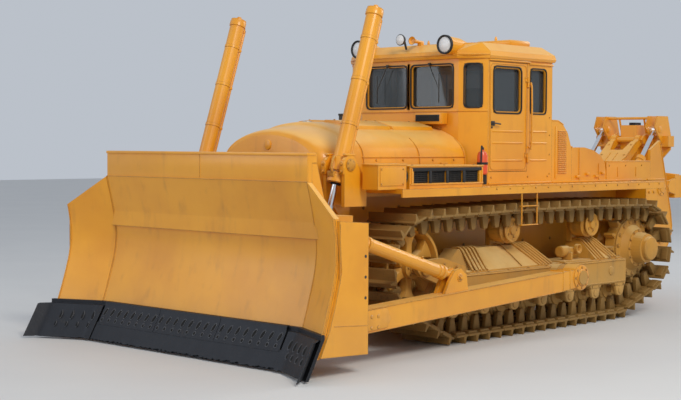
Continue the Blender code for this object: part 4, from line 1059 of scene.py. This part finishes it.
bothSides(podBezel, "podBezel", "tractor", "dark_trim", rubber)
bothSides(podLens, "podLens", "tractor", "cab_glass", lens)
lamp = Shape()
lamp.lathe((-0.035, 0.965, 3.492), (0, -1, 0), ((0, 0.030), (0.02, 0.055), (0.05, 0.068), (0.062, 0.070),
                                                (0.066, 0.062)), 28)
lamp.pipe([(-0.035, 0.985, 3.470), (-0.035, 1.0, 3.43), (-0.035, 1.02, 3.38)], 0.014, 8)
lamp.make("centreLamp", "tractor", "dark_trim", trim)
lampFace = Shape()
lampFace.lathe((-0.035, 0.902, 3.492), (0, -1, 0), ((0, 0.062), (0.006, 0.060), (0.012, 0.045),
                                                    (0.015, 0.012)), 24)
lampFace.make("centreLampLens", "tractor", "cab_glass", lens)
horn = Shape()
horn.lathe((0.10, 1.03, 3.475), (0.1, -1, 0.05), ((-0.16, 0.020), (-0.02, 0.022), (0.05, 0.034),
                                                  (0.075, 0.052),
                                                 (0.078, 0.046), (0.05, 0.026)), 20)
horn.box((0.07, 1.10, 3.41), (0.13, 1.16, 3.47), 0.006)
horn.make("horn", "tractor", "yellow_paint", paint)


def roofPress(shape):
    shape.prism(((0.02, 3.424), (0.02, 3.447), (0.80, 3.442), (0.90, 3.424)), "Y", 1.25, 2.30, 0.006)
    shape.box((0.30, 1.95, 3.43), (0.86, 2.36, 3.515), 0.030)
    for y in (1.30, 1.75, 2.2):
        shape.bolt((0.94, y, 3.418), (0.35, 0, 1), 0.009)
    shape.lathe((0.55, 2.05, 3.51), (0, 0, 1), ((0, 0.018), (0.03, 0.018), (0.06, 0.008)), 12)
    shape.pipe([(1.122, 1.20, 3.285), (1.122, 2.50, 3.285)], 0.008, 8)
    shape.pipe([(0.0, 0.982, 3.285), (0.79, 0.982, 3.285), (1.122, 1.185, 3.285)], 0.008, 8, 3)


top = Shape()
roofPress(top)
top.mirror()
top.make("roofPressings", "tractor", "yellow_paint", paint)

# Cab inside: levers, dash, consoles, gauges, padded seat
inside = Shape()
for x, y, z in ((-0.34, 1.62, 2.45), (-0.42, 1.66, 2.42), (0.34, 1.62, 2.47), (0.42, 1.68, 2.40)):
    inside.bar((x, y + 0.05, 1.82), (x, y, z), 0.011, 8)
    inside.lathe((x, y, z - 0.02), (0, 0, 1), ((0, 0.012), (0.015, 0.024), (0.045, 0.026), (0.06, 0.012)),
                 14)
inside.box((-0.30, 1.074, 2.585), (0.30, 1.20, 2.64), 0.02)
inside.box((0.30, 1.66, 1.80), (0.50, 2.05, 2.10), 0.02)
inside.box((-0.50, 1.66, 1.80), (-0.30, 2.05, 2.10), 0.02)
inside.make("cabControls", "tractor", "dark_trim", trim)
dials = Shape()
for k in range(5):
    dials.lathe((-0.24 + 0.12 * k, 1.20, 2.612), (0, 1, 0.3),
                ((0, 0.022), (0.008, 0.022), (0.010, 0.018)), 16)
dials.make("gaugeFaces", "tractor", "dark_trim", zinc)


def cushion(name, low, high, node, crown):
    shape = Shape()
    low, high = Vector(low), Vector(high)
    middle, size = (low + high) / 2, (high - low) / 2
    bmesh.ops.create_cube(shape.mesh, size=2.0)
    bmesh.ops.subdivide_edges(shape.mesh, edges=shape.mesh.edges[:], cuts=11, use_grid_fill=True)
    thin = min(range(3), key=lambda i: size[i])
    wide = [i for i in range(3) if i != thin]
    for vert in shape.mesh.verts:
        unit = vert.co.copy()
        bulge = (1 - abs(unit[wide[0]]) ** 3) * (1 - abs(unit[wide[1]]) ** 3)
        channel = 0.10 * max(0.0, math.cos(unit[wide[0]] * 9.0)) ** 6
        pinch = 1 - 0.05 * abs(unit[thin]) ** 2 - 0.03 * (1 - bulge)
        place = Vector((0, 0, 0))
        for i in wide:
            place[i] = unit[i] * size[i] * pinch
        place[thin] = unit[thin] * size[thin] * (0.72 + crown * bulge - channel * bulge)
        vert.co = middle + place
    piece = shape.make(name, "tractor", "seat_fabric", fabric, smoothAngle=60, replaces=(node,))


cushion("seatCushion", (-0.26, 1.63, 2.2303), (0.26, 2.05, 2.352), "seat_cushion", 0.26)
cushion("seatBack", (-0.25, 2.068, 2.36), (0.25, 2.188, 2.95), "seat_back", 0.26)

# Extinguisher clamped in front of the door
bottle = Shape()
bottle.lathe((1.155, 1.02, 1.87), (0, 0, 1), ((0, 0.050), (0.012, 0.062), (0.22, 0.062), (0.262, 0.045),
                                              (0.275, 0.022),
                                              (0.290, 0.022)), 24)
bottle.make("extinguisher", "tractor", "yellow_paint", redPaint)
clamp = Shape()
clamp.lathe((1.155, 1.02, 1.985), (0, 0, 1), ((0, 0.066), (0.028, 0.066)), 24)
clamp.box((1.095, 1.03, 1.98), (1.135, 1.10, 2.02), 0.004)
clamp.lathe((1.155, 1.02, 2.155), (0, 0, 1), ((0, 0.018), (0.030, 0.018), (0.034, 0.010)), 12)
clamp.pipe([(1.155, 1.02, 2.18), (1.175, 0.98, 2.20), (1.195, 0.95, 2.14), (1.195, 0.945, 2.00)], 0.010, 8)
clamp.box((1.14, 1.02, 1.752), (1.17, 1.09, 1.875), 0.004)
clamp.make("extinguisherClamp", "tractor", "dark_trim", rubber)
print("cab built")


# Rear bodywork: louvres, caps, straps
def louvres(shape):
    for k in range(22):
        z = 1.86 + 0.025 * k
        shape.prism(((1.099, z), (1.116, z + 0.004), (1.116, z + 0.010), (1.099, z + 0.016)), "Y", 2.62,
                    2.80)
    shape.box((1.098, 2.560, 1.80), (1.108, 2.590, 2.45), 0.003)
    shape.box((1.098, 2.500, 1.745), (1.112, 4.60, 1.768), 0.003)
    shape.prism(((2.492, 2.520), (2.492, 2.534), (2.625, 2.532), (2.745, 2.482), (2.740, 2.470),
                 (2.620, 2.519)), "X",
                0.0, 1.106, 0.003)
    shape.box((0.0, 2.925, 2.185), (1.106, 2.945, 2.205), 0.004)
    for y in (3.10, 3.55):
        shape.pipe([(1.104, y, 1.75), (1.104, y, 1.98 if y > 3.5 else 2.18)], 0.008, 6)
    shape.prism(((3.725, 1.75), (3.725, 1.995), (3.745, 1.995), (3.745, 1.75)), "X", 1.098, 1.108, 0.002)
    for y in (3.80, 4.20, 4.60):
        shape.bolt((1.10, y, 1.95), (1, 0, 0), 0.010)
    shape.box((0.93, 3.76, 1.998), (1.108, 4.815, 2.012), 0.004)
    for y in (4.00, 4.45):
        shape.box((1.099, y, 1.80), (1.107, y + 0.012, 1.93), 0.002)
    for y, z in ((3.02, 1.80), (3.25, 1.83), (3.45, 1.80), (3.60, 1.84)):
        shape.box((1.098, y, z), (1.125, y + 0.07, z + 0.035), 0.006)


louvreShape = Shape()
louvres(louvreShape)
louvreShape.mirror()
louvreShape.lathe((0.55, 3.08, 2.188), (0, 0, 1), ((0, 0.075), (0.020, 0.075), (0.026, 0.060),
                                                   (0.050, 0.058), (0.056, 0.040)), 24)
louvreShape.lathe((-0.62, 3.08, 2.188), (0, 0, 1), ((0, 0.050), (0.020, 0.050), (0.030, 0.030)), 20)
louvreShape.lathe((0.62, 2.55, 2.520), (0, 0, 1), ((0, 0.028), (0.030, 0.028), (0.040, 0.014),
                                                   (0.085, 0.008)), 14)
louvreShape.make("rearTrim", "tractor", "yellow_paint", paint)


def fenderTrim(shape):
    for k in range(15):
        y = 0.72 + 0.25 * k
        shape.bolt((1.601, y, 1.718), (1, 0, 0), 0.009)
    for row in range(4):
        for k in range(26):
            y = 0.66 + 0.14 * k
            x = 1.16 + 0.11 * row
            lean = 1 if (k + row) % 2 else -1
            shape.pipe([(x - 0.016, y - 0.016 * lean, 1.741), (x + 0.016, y + 0.016 * lean, 1.741)],
                       0.004, 5)
    shape.box((1.588, 0.60, 1.738), (1.604, 4.34, 1.752), 0.004)


bothSides(fenderTrim, "fenderTread", "tractor", "yellow_paint", paint)
print("rear bodywork built")


# Running gear: wheels, roller ends, cover ribs
gear = {"middle": 1.219, "wheelHalf": 0.11, "outer": 1.549, "beamTop": 0.771}


def idlerWheel(shape):
    y, z, radius = track["idler"]
    middle, half = gear["middle"], gear["wheelHalf"]
    shape.lathe((middle - half, y, z), (1, 0, 0), ((0.0, 0.405), (0.0, radius - 0.02),
                                                   (0.03, radius - 0.002),
                                                 (2 * half - 0.03, radius - 0.002),
                                                   (2 * half, radius - 0.02),
                                                 (2 * half, 0.405), (2 * half - 0.05, 0.385),
                                                   (0.05, 0.385)), 48, True)
    for i in range(6):
        aim = math.pi / 6 + i * math.pi / 3
        outline = []
        for far, wide in ((0.09, -0.075), (0.16, -0.045), (0.26, -0.048), (0.34, -0.095), (0.39, -0.150),
                          (0.39, 0.150), (0.34, 0.095), (0.26, 0.048), (0.16, 0.045), (0.09, 0.075)):
            outline.append((y + far * math.cos(aim) - wide * math.sin(aim),
                            z + far * math.sin(aim) + wide * math.cos(aim)))
        shape.prism(outline, "X", middle - 0.055, middle + 0.055, 0.014)
    shape.lathe((middle - half - 0.01, y, z), (1, 0, 0),
                ((0, 0.10), (0.01, 0.125), (2 * half + 0.01, 0.125),
                                                        (2 * half + 0.02, 0.10), (2 * half + 0.022, 0.07),
                                                        (2 * half + 0.034, 0.065),
                 (2 * half + 0.036, 0.03)), 32)
    for spot in circlePoints((y, z), 0.088, 6):
        shape.bolt((middle + half + 0.010, *spot), (1, 0, 0), 0.011)


bothSides(idlerWheel, "idlerWheel", "tractor", "worn_paint", gearPaint, ("idler",))


def wheelEnds(shape):
    end = gear["middle"] + gear["wheelHalf"]
    for k in range(track["rollers"]):
        y = track["firstRoller"] + k * track["rollerPitch"]
        shape.lathe((end - 0.004, y, track["rollerZ"]), (1, 0, 0),
                    ((0, 0.172), (0.012, 0.165), (0.014, 0.12), (0.030, 0.115), (0.034, 0.05)), 28)
        for spot in circlePoints((y, track["rollerZ"]), 0.142, 6):
            shape.bolt((end + 0.008, *spot), (1, 0, 0), 0.010)
    for y, z, radius in track["carriers"]:
        shape.lathe((end + 0.026, y, z), (1, 0, 0),
                    ((0, 0.075), (0.006, 0.142), (0.022, 0.148), (0.030, 0.140),
                                                    (0.026, 0.118), (0.018, 0.108), (0.020, 0.055),
                     (0.040, 0.050),
                                                    (0.042, 0.02)), 36)
        for spot in circlePoints((y, z), 0.082, 5):
            shape.bolt((end + 0.046, *spot), (1, 0, 0), 0.010)
        shape.lathe((end - 0.05, y, z), (1, 0, 0), ((0, radius), (0.02, radius + 0.010),
                                                    (0.03, radius + 0.010),
                                                   (0.034, radius)), 36)


def sprocketTrim(shape):
    y, z, tip = track["sprocket"]
    shape.lathe((1.30, y, z), (1, 0, 0), ((0, 0.385), (0.012, 0.378), (0.022, 0.30), (0.060, 0.270),
                                          (0.110, 0.245)), 45)
    for spot in circlePoints((y, z), 0.345, 15, 0.1):
        shape.bolt((1.318, *spot), (1, 0, 0), 0.019)
    for spot in circlePoints((y, z), 0.222, 12):
        shape.bolt((1.415, *spot), (1, 0, 0), 0.014)
    shape.lathe((1.548, y, z), (1, 0, 0), ((0, 0.150), (0.010, 0.158), (0.052, 0.156), (0.066, 0.146),
                                           (0.074, 0.125),
                                          (0.078, 0.06)), 40)
    for k in range(15):
        angle = 2 * math.pi * (k + 0.5) / 15
        a, b = y + 0.430 * math.cos(angle), z + 0.430 * math.sin(angle)
        shape.lathe((gear["middle"] - 0.078, a, b), (1, 0, 0), ((0, 0.018), (0.004, 0.022), (0.150, 0.022),
                                                              (0.156, 0.018)), 10)


def coverRibs(shape):
    # pressed ribs down the covers' slope: y at the ridge, y at the foot
    low, high = (1.505, 0.795), (1.205, 1.026)
    for start, lean, count in ((0.56, -0.16, 5), (1.56, 0.14, 5), (2.99, -0.04, 3), (3.13, 0.10, 3)):
        for k in range(count):
            y = start + 0.065 * k
            shape.pipe([(high[0] - 0.12, y, high[1] - 0.004), (high[0], y, high[1]),
                        ((low[0] + high[0]) / 2, y + lean * 0.45, (low[1] + high[1]) / 2 + 0.006),
                        (low[0], y + lean * 0.9, low[1])], 0.015, 8, 3)
    shape.pipe([(high[0] - 0.18, 1.32, 1.022), (high[0], 1.32, 1.028), (low[0], 1.34, low[1] + 0.004)],
               0.007, 6, 3)


def beamTrim(shape):
    outer = gear["outer"]
    for k in range(track["rollers"]):
        y = track["firstRoller"] + k * track["rollerPitch"]
        shape.prism([(y - 0.10, 0.43), (y + 0.10, 0.43), (y + 0.075, 0.325), (y + 0.03, 0.30),
                     (y - 0.03, 0.30),
                     (y - 0.075, 0.325)], "X", outer - 0.052, outer - 0.006, 0.010)
        shape.prism([(y - 0.13, 0.470), (y + 0.13, 0.470), (y + 0.10, 0.425), (y - 0.10, 0.425)], "X",
                    outer - 0.075, outer - 0.004, 0.006)
        for side in (-1, 1):
            shape.bolt((outer - 0.006, y + side * 0.075, 0.448), (1, 0, 0), 0.012)
        shape.lathe((outer - 0.008, y, 0.37), (1, 0, 0), ((0, 0.045), (0.010, 0.042), (0.014, 0.020)), 18)
    for y in (2.62, 3.18):
        shape.lathe((outer - 0.002, y, 0.63), (1, 0, 0),
                    ((0, 0.060), (0.010, 0.056), (0.020, 0.034), (0.022, 0.015)), 20)
    shape.pipe([(outer + 0.001, 0.05, 0.752), (outer + 0.001, 3.50, 0.752)], 0.008, 6)
    shape.pipe([(outer + 0.001, 0.00, 0.485), (outer + 0.001, 3.50, 0.485)], 0.008, 6)
    for k in range(9):
        y = 0.30 + 0.38 * k
        shape.bolt((1.525, y, gear["beamTop"]), (0, 0, 1), 0.013)
    shape.box((1.50, 2.20, 0.771), (1.548, 2.86, 0.785), 0.004)
    # recoil spring guard and ring bracket between the covers
    shape.lathe((1.36, 2.30, 0.905), (0, 1, 0), ((0, 0.055), (0.01, 0.070), (0.16, 0.070), (0.17, 0.055),
                                                 (0.30, 0.045),
                                                (0.36, 0.045), (0.37, 0.030)), 24)
    shape.lathe((1.40, 2.60, 0.93), (1, 0, 0), ((0, 0.040), (0.01, 0.062), (0.055, 0.062), (0.060, 0.050),
                                                (0.045, 0.036),
                                               (0.02, 0.030)), 24)
    shape.box((1.33, 2.40, 0.77), (1.47, 2.44, 0.90), 0.008)
    shape.box((1.30, 2.22, 0.765), (1.50, 2.80, 0.80), 0.006)
    # idler yoke fittings
    for y, z in ((-0.10, 0.90), (-0.10, 0.78), (0.12, 0.86), (0.12, 0.74)):
        shape.bolt((1.522, y, z), (1, 0, 0), 0.016)
    shape.lathe((1.515, -0.41, 0.874), (1, 0, 0), ((0, 0.080), (0.014, 0.078), (0.020, 0.050),
                                                   (0.028, 0.046),
                                                  (0.030, 0.02)), 24)


bothSides(wheelEnds, "rollerEnds", "tractor", "worn_paint", gearPaint)
bothSides(sprocketTrim, "sprocketRings", "tractor", "worn_paint", gearPaint)
bothSides(coverRibs, "coverRibs", "tractor", "worn_paint", gearPaint)
bothSides(beamTrim, "beamFittings", "tractor", "worn_paint", gearPaint)
print("running gear built")

# Ripper: bosses, hoses, tooth
ripper = {"arm": (5.12, 0.95), "link": (5.12, 1.623), "angle": 38.0, "length": 1.10,
          "rodEye": (0.043, 0.823),
          "foot": (4.90, 1.20), "cylinder": 0.44, "mountHalf": 1.10}
swing = Vector((math.cos(math.radians(ripper["angle"])),
                math.sin(math.radians(ripper["angle"])))) * ripper["length"]
armEnd = Vector(ripper["arm"]) + swing
linkEnd = Vector(ripper["link"]) + swing
rodEyeAt = armEnd + Vector(ripper["rodEye"])


def mountTrim(shape):
    half = ripper["mountHalf"]
    for y, z in (ripper["arm"], ripper["link"]):
        shape.lathe((half - 0.002, y, z), (1, 0, 0),
                    ((0, 0.105), (0.014, 0.100), (0.020, 0.060), (0.030, 0.055),
                                                     (0.032, 0.02)), 28)
        for spot in circlePoints((y, z), 0.082, 6):
            shape.bolt((half + 0.012, *spot), (1, 0, 0), 0.010)
    for y, z in ((4.80, 1.02), (4.80, 1.30), (4.80, 1.58), (4.92, 1.02), (4.92, 1.30), (4.92, 1.58)):
        shape.bolt((half, y, z), (1, 0, 0), 0.017)
    shape.pipe([(half + 0.001, 5.30, 0.82), (half + 0.001, 5.41, 1.10), (half + 0.001, 5.24, 1.73),
                (half + 0.001, 5.07, 2.27)], 0.009, 8, 3)
    shape.box((half - 0.002, 4.74, 1.742), (half + 0.012, 5.20, 1.764), 0.004)
    shape.lathe((0.86, 4.79, 1.10), (0, 1, 0), ((0, 0.05), (0.02, 0.05), (0.026, 0.03)), 16)


mount = Shape()
mountTrim(mount)
mount.mirror()
mount.make("mountFittings", "tractor", "yellow_paint", paint)


def armBosses(shape):
    for x in (0.555, 0.705):
        side = 1 if x > 0.63 else -1
        for y, z, radius in ((*ripper["arm"], 0.11), (*armEnd, 0.09)):
            shape.lathe((x - side * 0.010, y, z), (side, 0, 0),
                        ((0, radius - 0.012), (0.012, radius - 0.004),
                                                               (0.015, radius - 0.015)), 24)
    low, high = Vector(ripper["arm"]).lerp(armEnd, 0.16), Vector(ripper["arm"]).lerp(armEnd, 0.84)
    for off in (0.06, -0.06):
        shape.pipe([(0.700, low.x, low.y + off), (0.700, high.x, high.y + off)], 0.007, 6)


arms = Shape()
armBosses(arms)
arms.mirror()
arms.make("ripperArmBosses", "ripper_arms", "yellow_paint", paint)


def carrierTrim(shape):
    y = armEnd.x
    for side in (1, -1):  # collars of the rod eye's pin
        shape.lathe((ripper["cylinder"] - side * 0.094, *rodEyeAt), (side, 0, 0),
                    ((0, 0.040), (0.006, 0.050), (0.020, 0.050)), 20)
    for z in (2.23, 2.33):
        for x in (0.25, 0.58):
            shape.bolt((x, y + 0.281, z), (0, 1, 0), 0.014)
    for x in (0.20, 0.45, 0.68):
        shape.bolt((x, y + 0.311, armEnd.y + 0.06), (0, 1, 0), 0.014)
        shape.bolt((x, y + 0.311, armEnd.y - 0.08), (0, 1, 0), 0.014)
    for z in (1.45, 1.60, 2.44):
        shape.bolt((0.10, y + 0.371, z), (0, 1, 0), 0.014)
    # ribs of the cast carrier between its beams
    shape.prism(((0.145, 2.21), (0.60, 2.21), (0.60, 2.16), (0.30, 1.85), (0.145, 1.78)), "Y", y + 0.20,
                y + 0.24, 0.005)
    shape.prism(((0.145, 1.79), (0.30, 1.84), (0.73, 1.80), (0.73, 1.77), (0.145, 1.77)), "Y", y + 0.18,
                y + 0.26, 0.005)


carrier = Shape()
carrierTrim(carrier)
carrier.mirror()
carrier.make("carrierFittings", "ripper_carrier", "yellow_paint", paint)


def linkPlate():  # the forked plate on the upper link
    shape = Shape()
    foot = Vector((0, *ripper["link"]))
    along = Vector((0, *linkEnd)) - foot
    along.normalize()
    above = Vector((0, -along.z, along.y))
    outline = ((-0.15, 0.12), (0.15, 0.12), (0.20, 0.50), (0.238, 0.60), (0.238, 0.985), (0.150, 0.985),
               (0.105, 0.78), (-0.105, 0.78), (-0.150, 0.985), (-0.238, 0.985), (-0.238, 0.60),
               (-0.20, 0.50))
    faces = shape.rings([[foot + along * far + above * lift + Vector((x, 0, 0)) for x, far in outline]
                         for lift in (0.050, 0.066)])
    shape.soften(faces, 0.004)
    for x, far in ((-0.19, 0.66), (0.19, 0.66), (-0.19, 0.90), (0.19, 0.90), (-0.09, 0.20), (0.09, 0.20)):
        shape.bolt(foot + along * far + above * 0.066 + Vector((x, 0, 0)), above, 0.012)
    for side in (-1, 1):
        shape.pipe([foot + along * far + above * 0.068 + Vector((side * 0.06, 0, 0))
                    for far in (0.20, 0.70)],
                   0.007, 6)
    shape.make("linkPlate", "ripper_upper_link", "yellow_paint", paint)


linkPlate()


def toothCap():
    shape = Shape()
    y = armEnd.x
    shape.prism(((y - 0.10, 0.745), (y - 0.075, 0.80), (y + 0.02, 0.935), (y + 0.13, 0.90),
                 (y + 0.06, 0.80),
                 (y - 0.04, 0.742)), "X", -0.060, 0.060, 0.010)
    shape.lathe((-0.066, y + 0.045, 0.875), (1, 0, 0),
                ((0, 0.012), (0.004, 0.018), (0.128, 0.018), (0.132, 0.012)), 14)
    shape.make("ripperTooth", "ripper_carrier", "edge_steel", edgeSteel)


toothCap()


def ripperBarrelTrim(shape):
    foot = Vector((ripper["cylinder"], *ripper["foot"]))
    along = (Vector((ripper["cylinder"], *rodEyeAt)) - foot).normalized()
    off = Vector((0, along.z, -along.y))
    shape.lathe(foot + along * 1.07, along, ((0, 0.062), (0.006, 0.072), (0.070, 0.072), (0.078, 0.060),
                                             (0.084, 0.046),
                                             (0.088, 0.038)), 24, True)
    shape.lathe(foot + along * 0.10, along, ((0, 0.060), (0.006, 0.068), (0.040, 0.068), (0.046, 0.060)),
                24,
                True)
    shape.pipe([foot + along * 0.14 + off * 0.062, foot + along * 0.20 + off * 0.080,
                foot + along * 0.98 + off * 0.080,
                foot + along * 1.06 + off * 0.066], 0.011, 8)
    for share in (0.40, 0.80):
        shape.lathe(foot + along * share, along, ((0, 0.0605), (0.002, 0.064), (0.022, 0.064),
                                                  (0.024, 0.0605)), 24,
                    True)


bothSides(ripperBarrelTrim, "ripperBarrelFittings", "{side}_ripper_barrel", "yellow_paint", paint)
print("ripper built")

# Hull underside and belly details
belly = Shape()
for k in range(5):
    belly.box((-0.50, 0.95 + 0.60 * k, 0.500), (0.50, 1.42 + 0.60 * k, 0.521), 0.006)
    for x in (-0.45, -0.15, 0.15, 0.45):
        belly.bolt((x, 1.00 + 0.60 * k, 0.500), (0, 0, -1), 0.014)
        belly.bolt((x, 1.37 + 0.60 * k, 0.500), (0, 0, -1), 0.014)
for z in (1.0, 1.25, 1.5):
    for side in (-1, 1):
        for k in range(8):
            belly.bolt((side * 0.62, -0.45 + 0.6 * k, z), (side, 0, 0), 0.014)
belly.make("bellyPlates", "tractor", "worn_paint", gearPaint)

# Exhaust stub on the hood's far side
stack = Shape()
stack.lathe((-0.42, 0.30, 2.40), (0, 0, 1), ((0, 0.075), (0.02, 0.070), (0.03, 0.052), (0.16, 0.050),
                                             (0.165, 0.058),
                                            (0.185, 0.058), (0.186, 0.046), (0.10, 0.044)), 24)
stack.make("exhaustStub", "tractor", "dark_trim", trim)


# Camera, floor and soft studio light
view = {"place": (11.169, -11.832, 2.215), "azimuth": 43.773, "pitch": -2.307, "roll": 0.27, "lens": 73.1}


def setStage():
    camera = bpy.data.objects.new("camera", bpy.data.cameras.new("camera"))
    bpy.context.scene.collection.objects.link(camera)
    azimuth, pitch = math.radians(view["azimuth"]), math.radians(view["pitch"])
    ahead = Vector((-math.sin(azimuth) * math.cos(pitch), math.cos(azimuth) * math.cos(pitch),
                    math.sin(pitch)))
    roll = Matrix.Rotation(math.radians(view["roll"]), 4, "Z")
    turn = ahead.to_track_quat("-Z", "Y").to_matrix().to_4x4() @ roll
    camera.matrix_world = Matrix.Translation(Vector(view["place"]) + Vector((0, datum, 0))) @ turn
    camera.data.lens = view["lens"]
    camera.data.sensor_width = 36.0
    camera.data.clip_end = 300.0
    bpy.context.scene.camera = camera
    bpy.context.scene.view_settings.view_transform = "Standard"

    floorMesh = bpy.data.meshes.new("floor")
    reach = 60.0
    floorMesh.from_pydata([(-reach, -reach, 0), (reach, -reach, 0), (reach, reach, 0), (-reach, reach, 0)],
                          [], [(0, 1, 2, 3)])
    floor = bpy.data.objects.new("floor", floorMesh)
    bpy.context.scene.collection.objects.link(floor)
    s = Shader("floorFinish")
    cloud = s.noise(0.6, 3)
    normal = s.node("NewGeometry", output="Normal")
    floorMesh.materials.append(s.finish(cloud, 0.02, normal, Roughness=0.75 + cloud * 0.1,
                                        Base_Color=s.mix(cloud, colour(0.60, 0.60, 0.60),
                                                         colour(0.66, 0.66, 0.65))))

    world = bpy.data.worlds.new("studio")
    world.use_nodes = True
    world.node_tree.nodes["Background"].inputs["Color"].default_value = (0.80, 0.86, 0.95, 1.0)
    world.node_tree.nodes["Background"].inputs["Strength"].default_value = 0.62
    bpy.context.scene.world = world
    # lamps: place, aim, size, power, colour
    for name, place, aim, size, power, tint in (
            ("key", (14, -7, 13), (0, 0, 1.5), 5.0, 1700, (1.0, 0.95, 0.86)),
            ("fill", (-8, -16, 7), (0, -2, 1.5), 9.0, 420, (0.9, 0.95, 1.0)),
            ("back", (4, 16, 10), (0, 2, 2), 7.0, 600, (1.0, 0.97, 0.92))):
        lamp = bpy.data.lights.new(name, "AREA")
        lamp.size = size
        lamp.energy = power
        lamp.color = tint
        thing = bpy.data.objects.new(name, lamp)
        bpy.context.scene.collection.objects.link(thing)
        thing.location = place
        thing.rotation_euler = (Vector(aim) - Vector(place)).to_track_quat("-Z", "Y").to_euler()


setStage()
print("stage set")
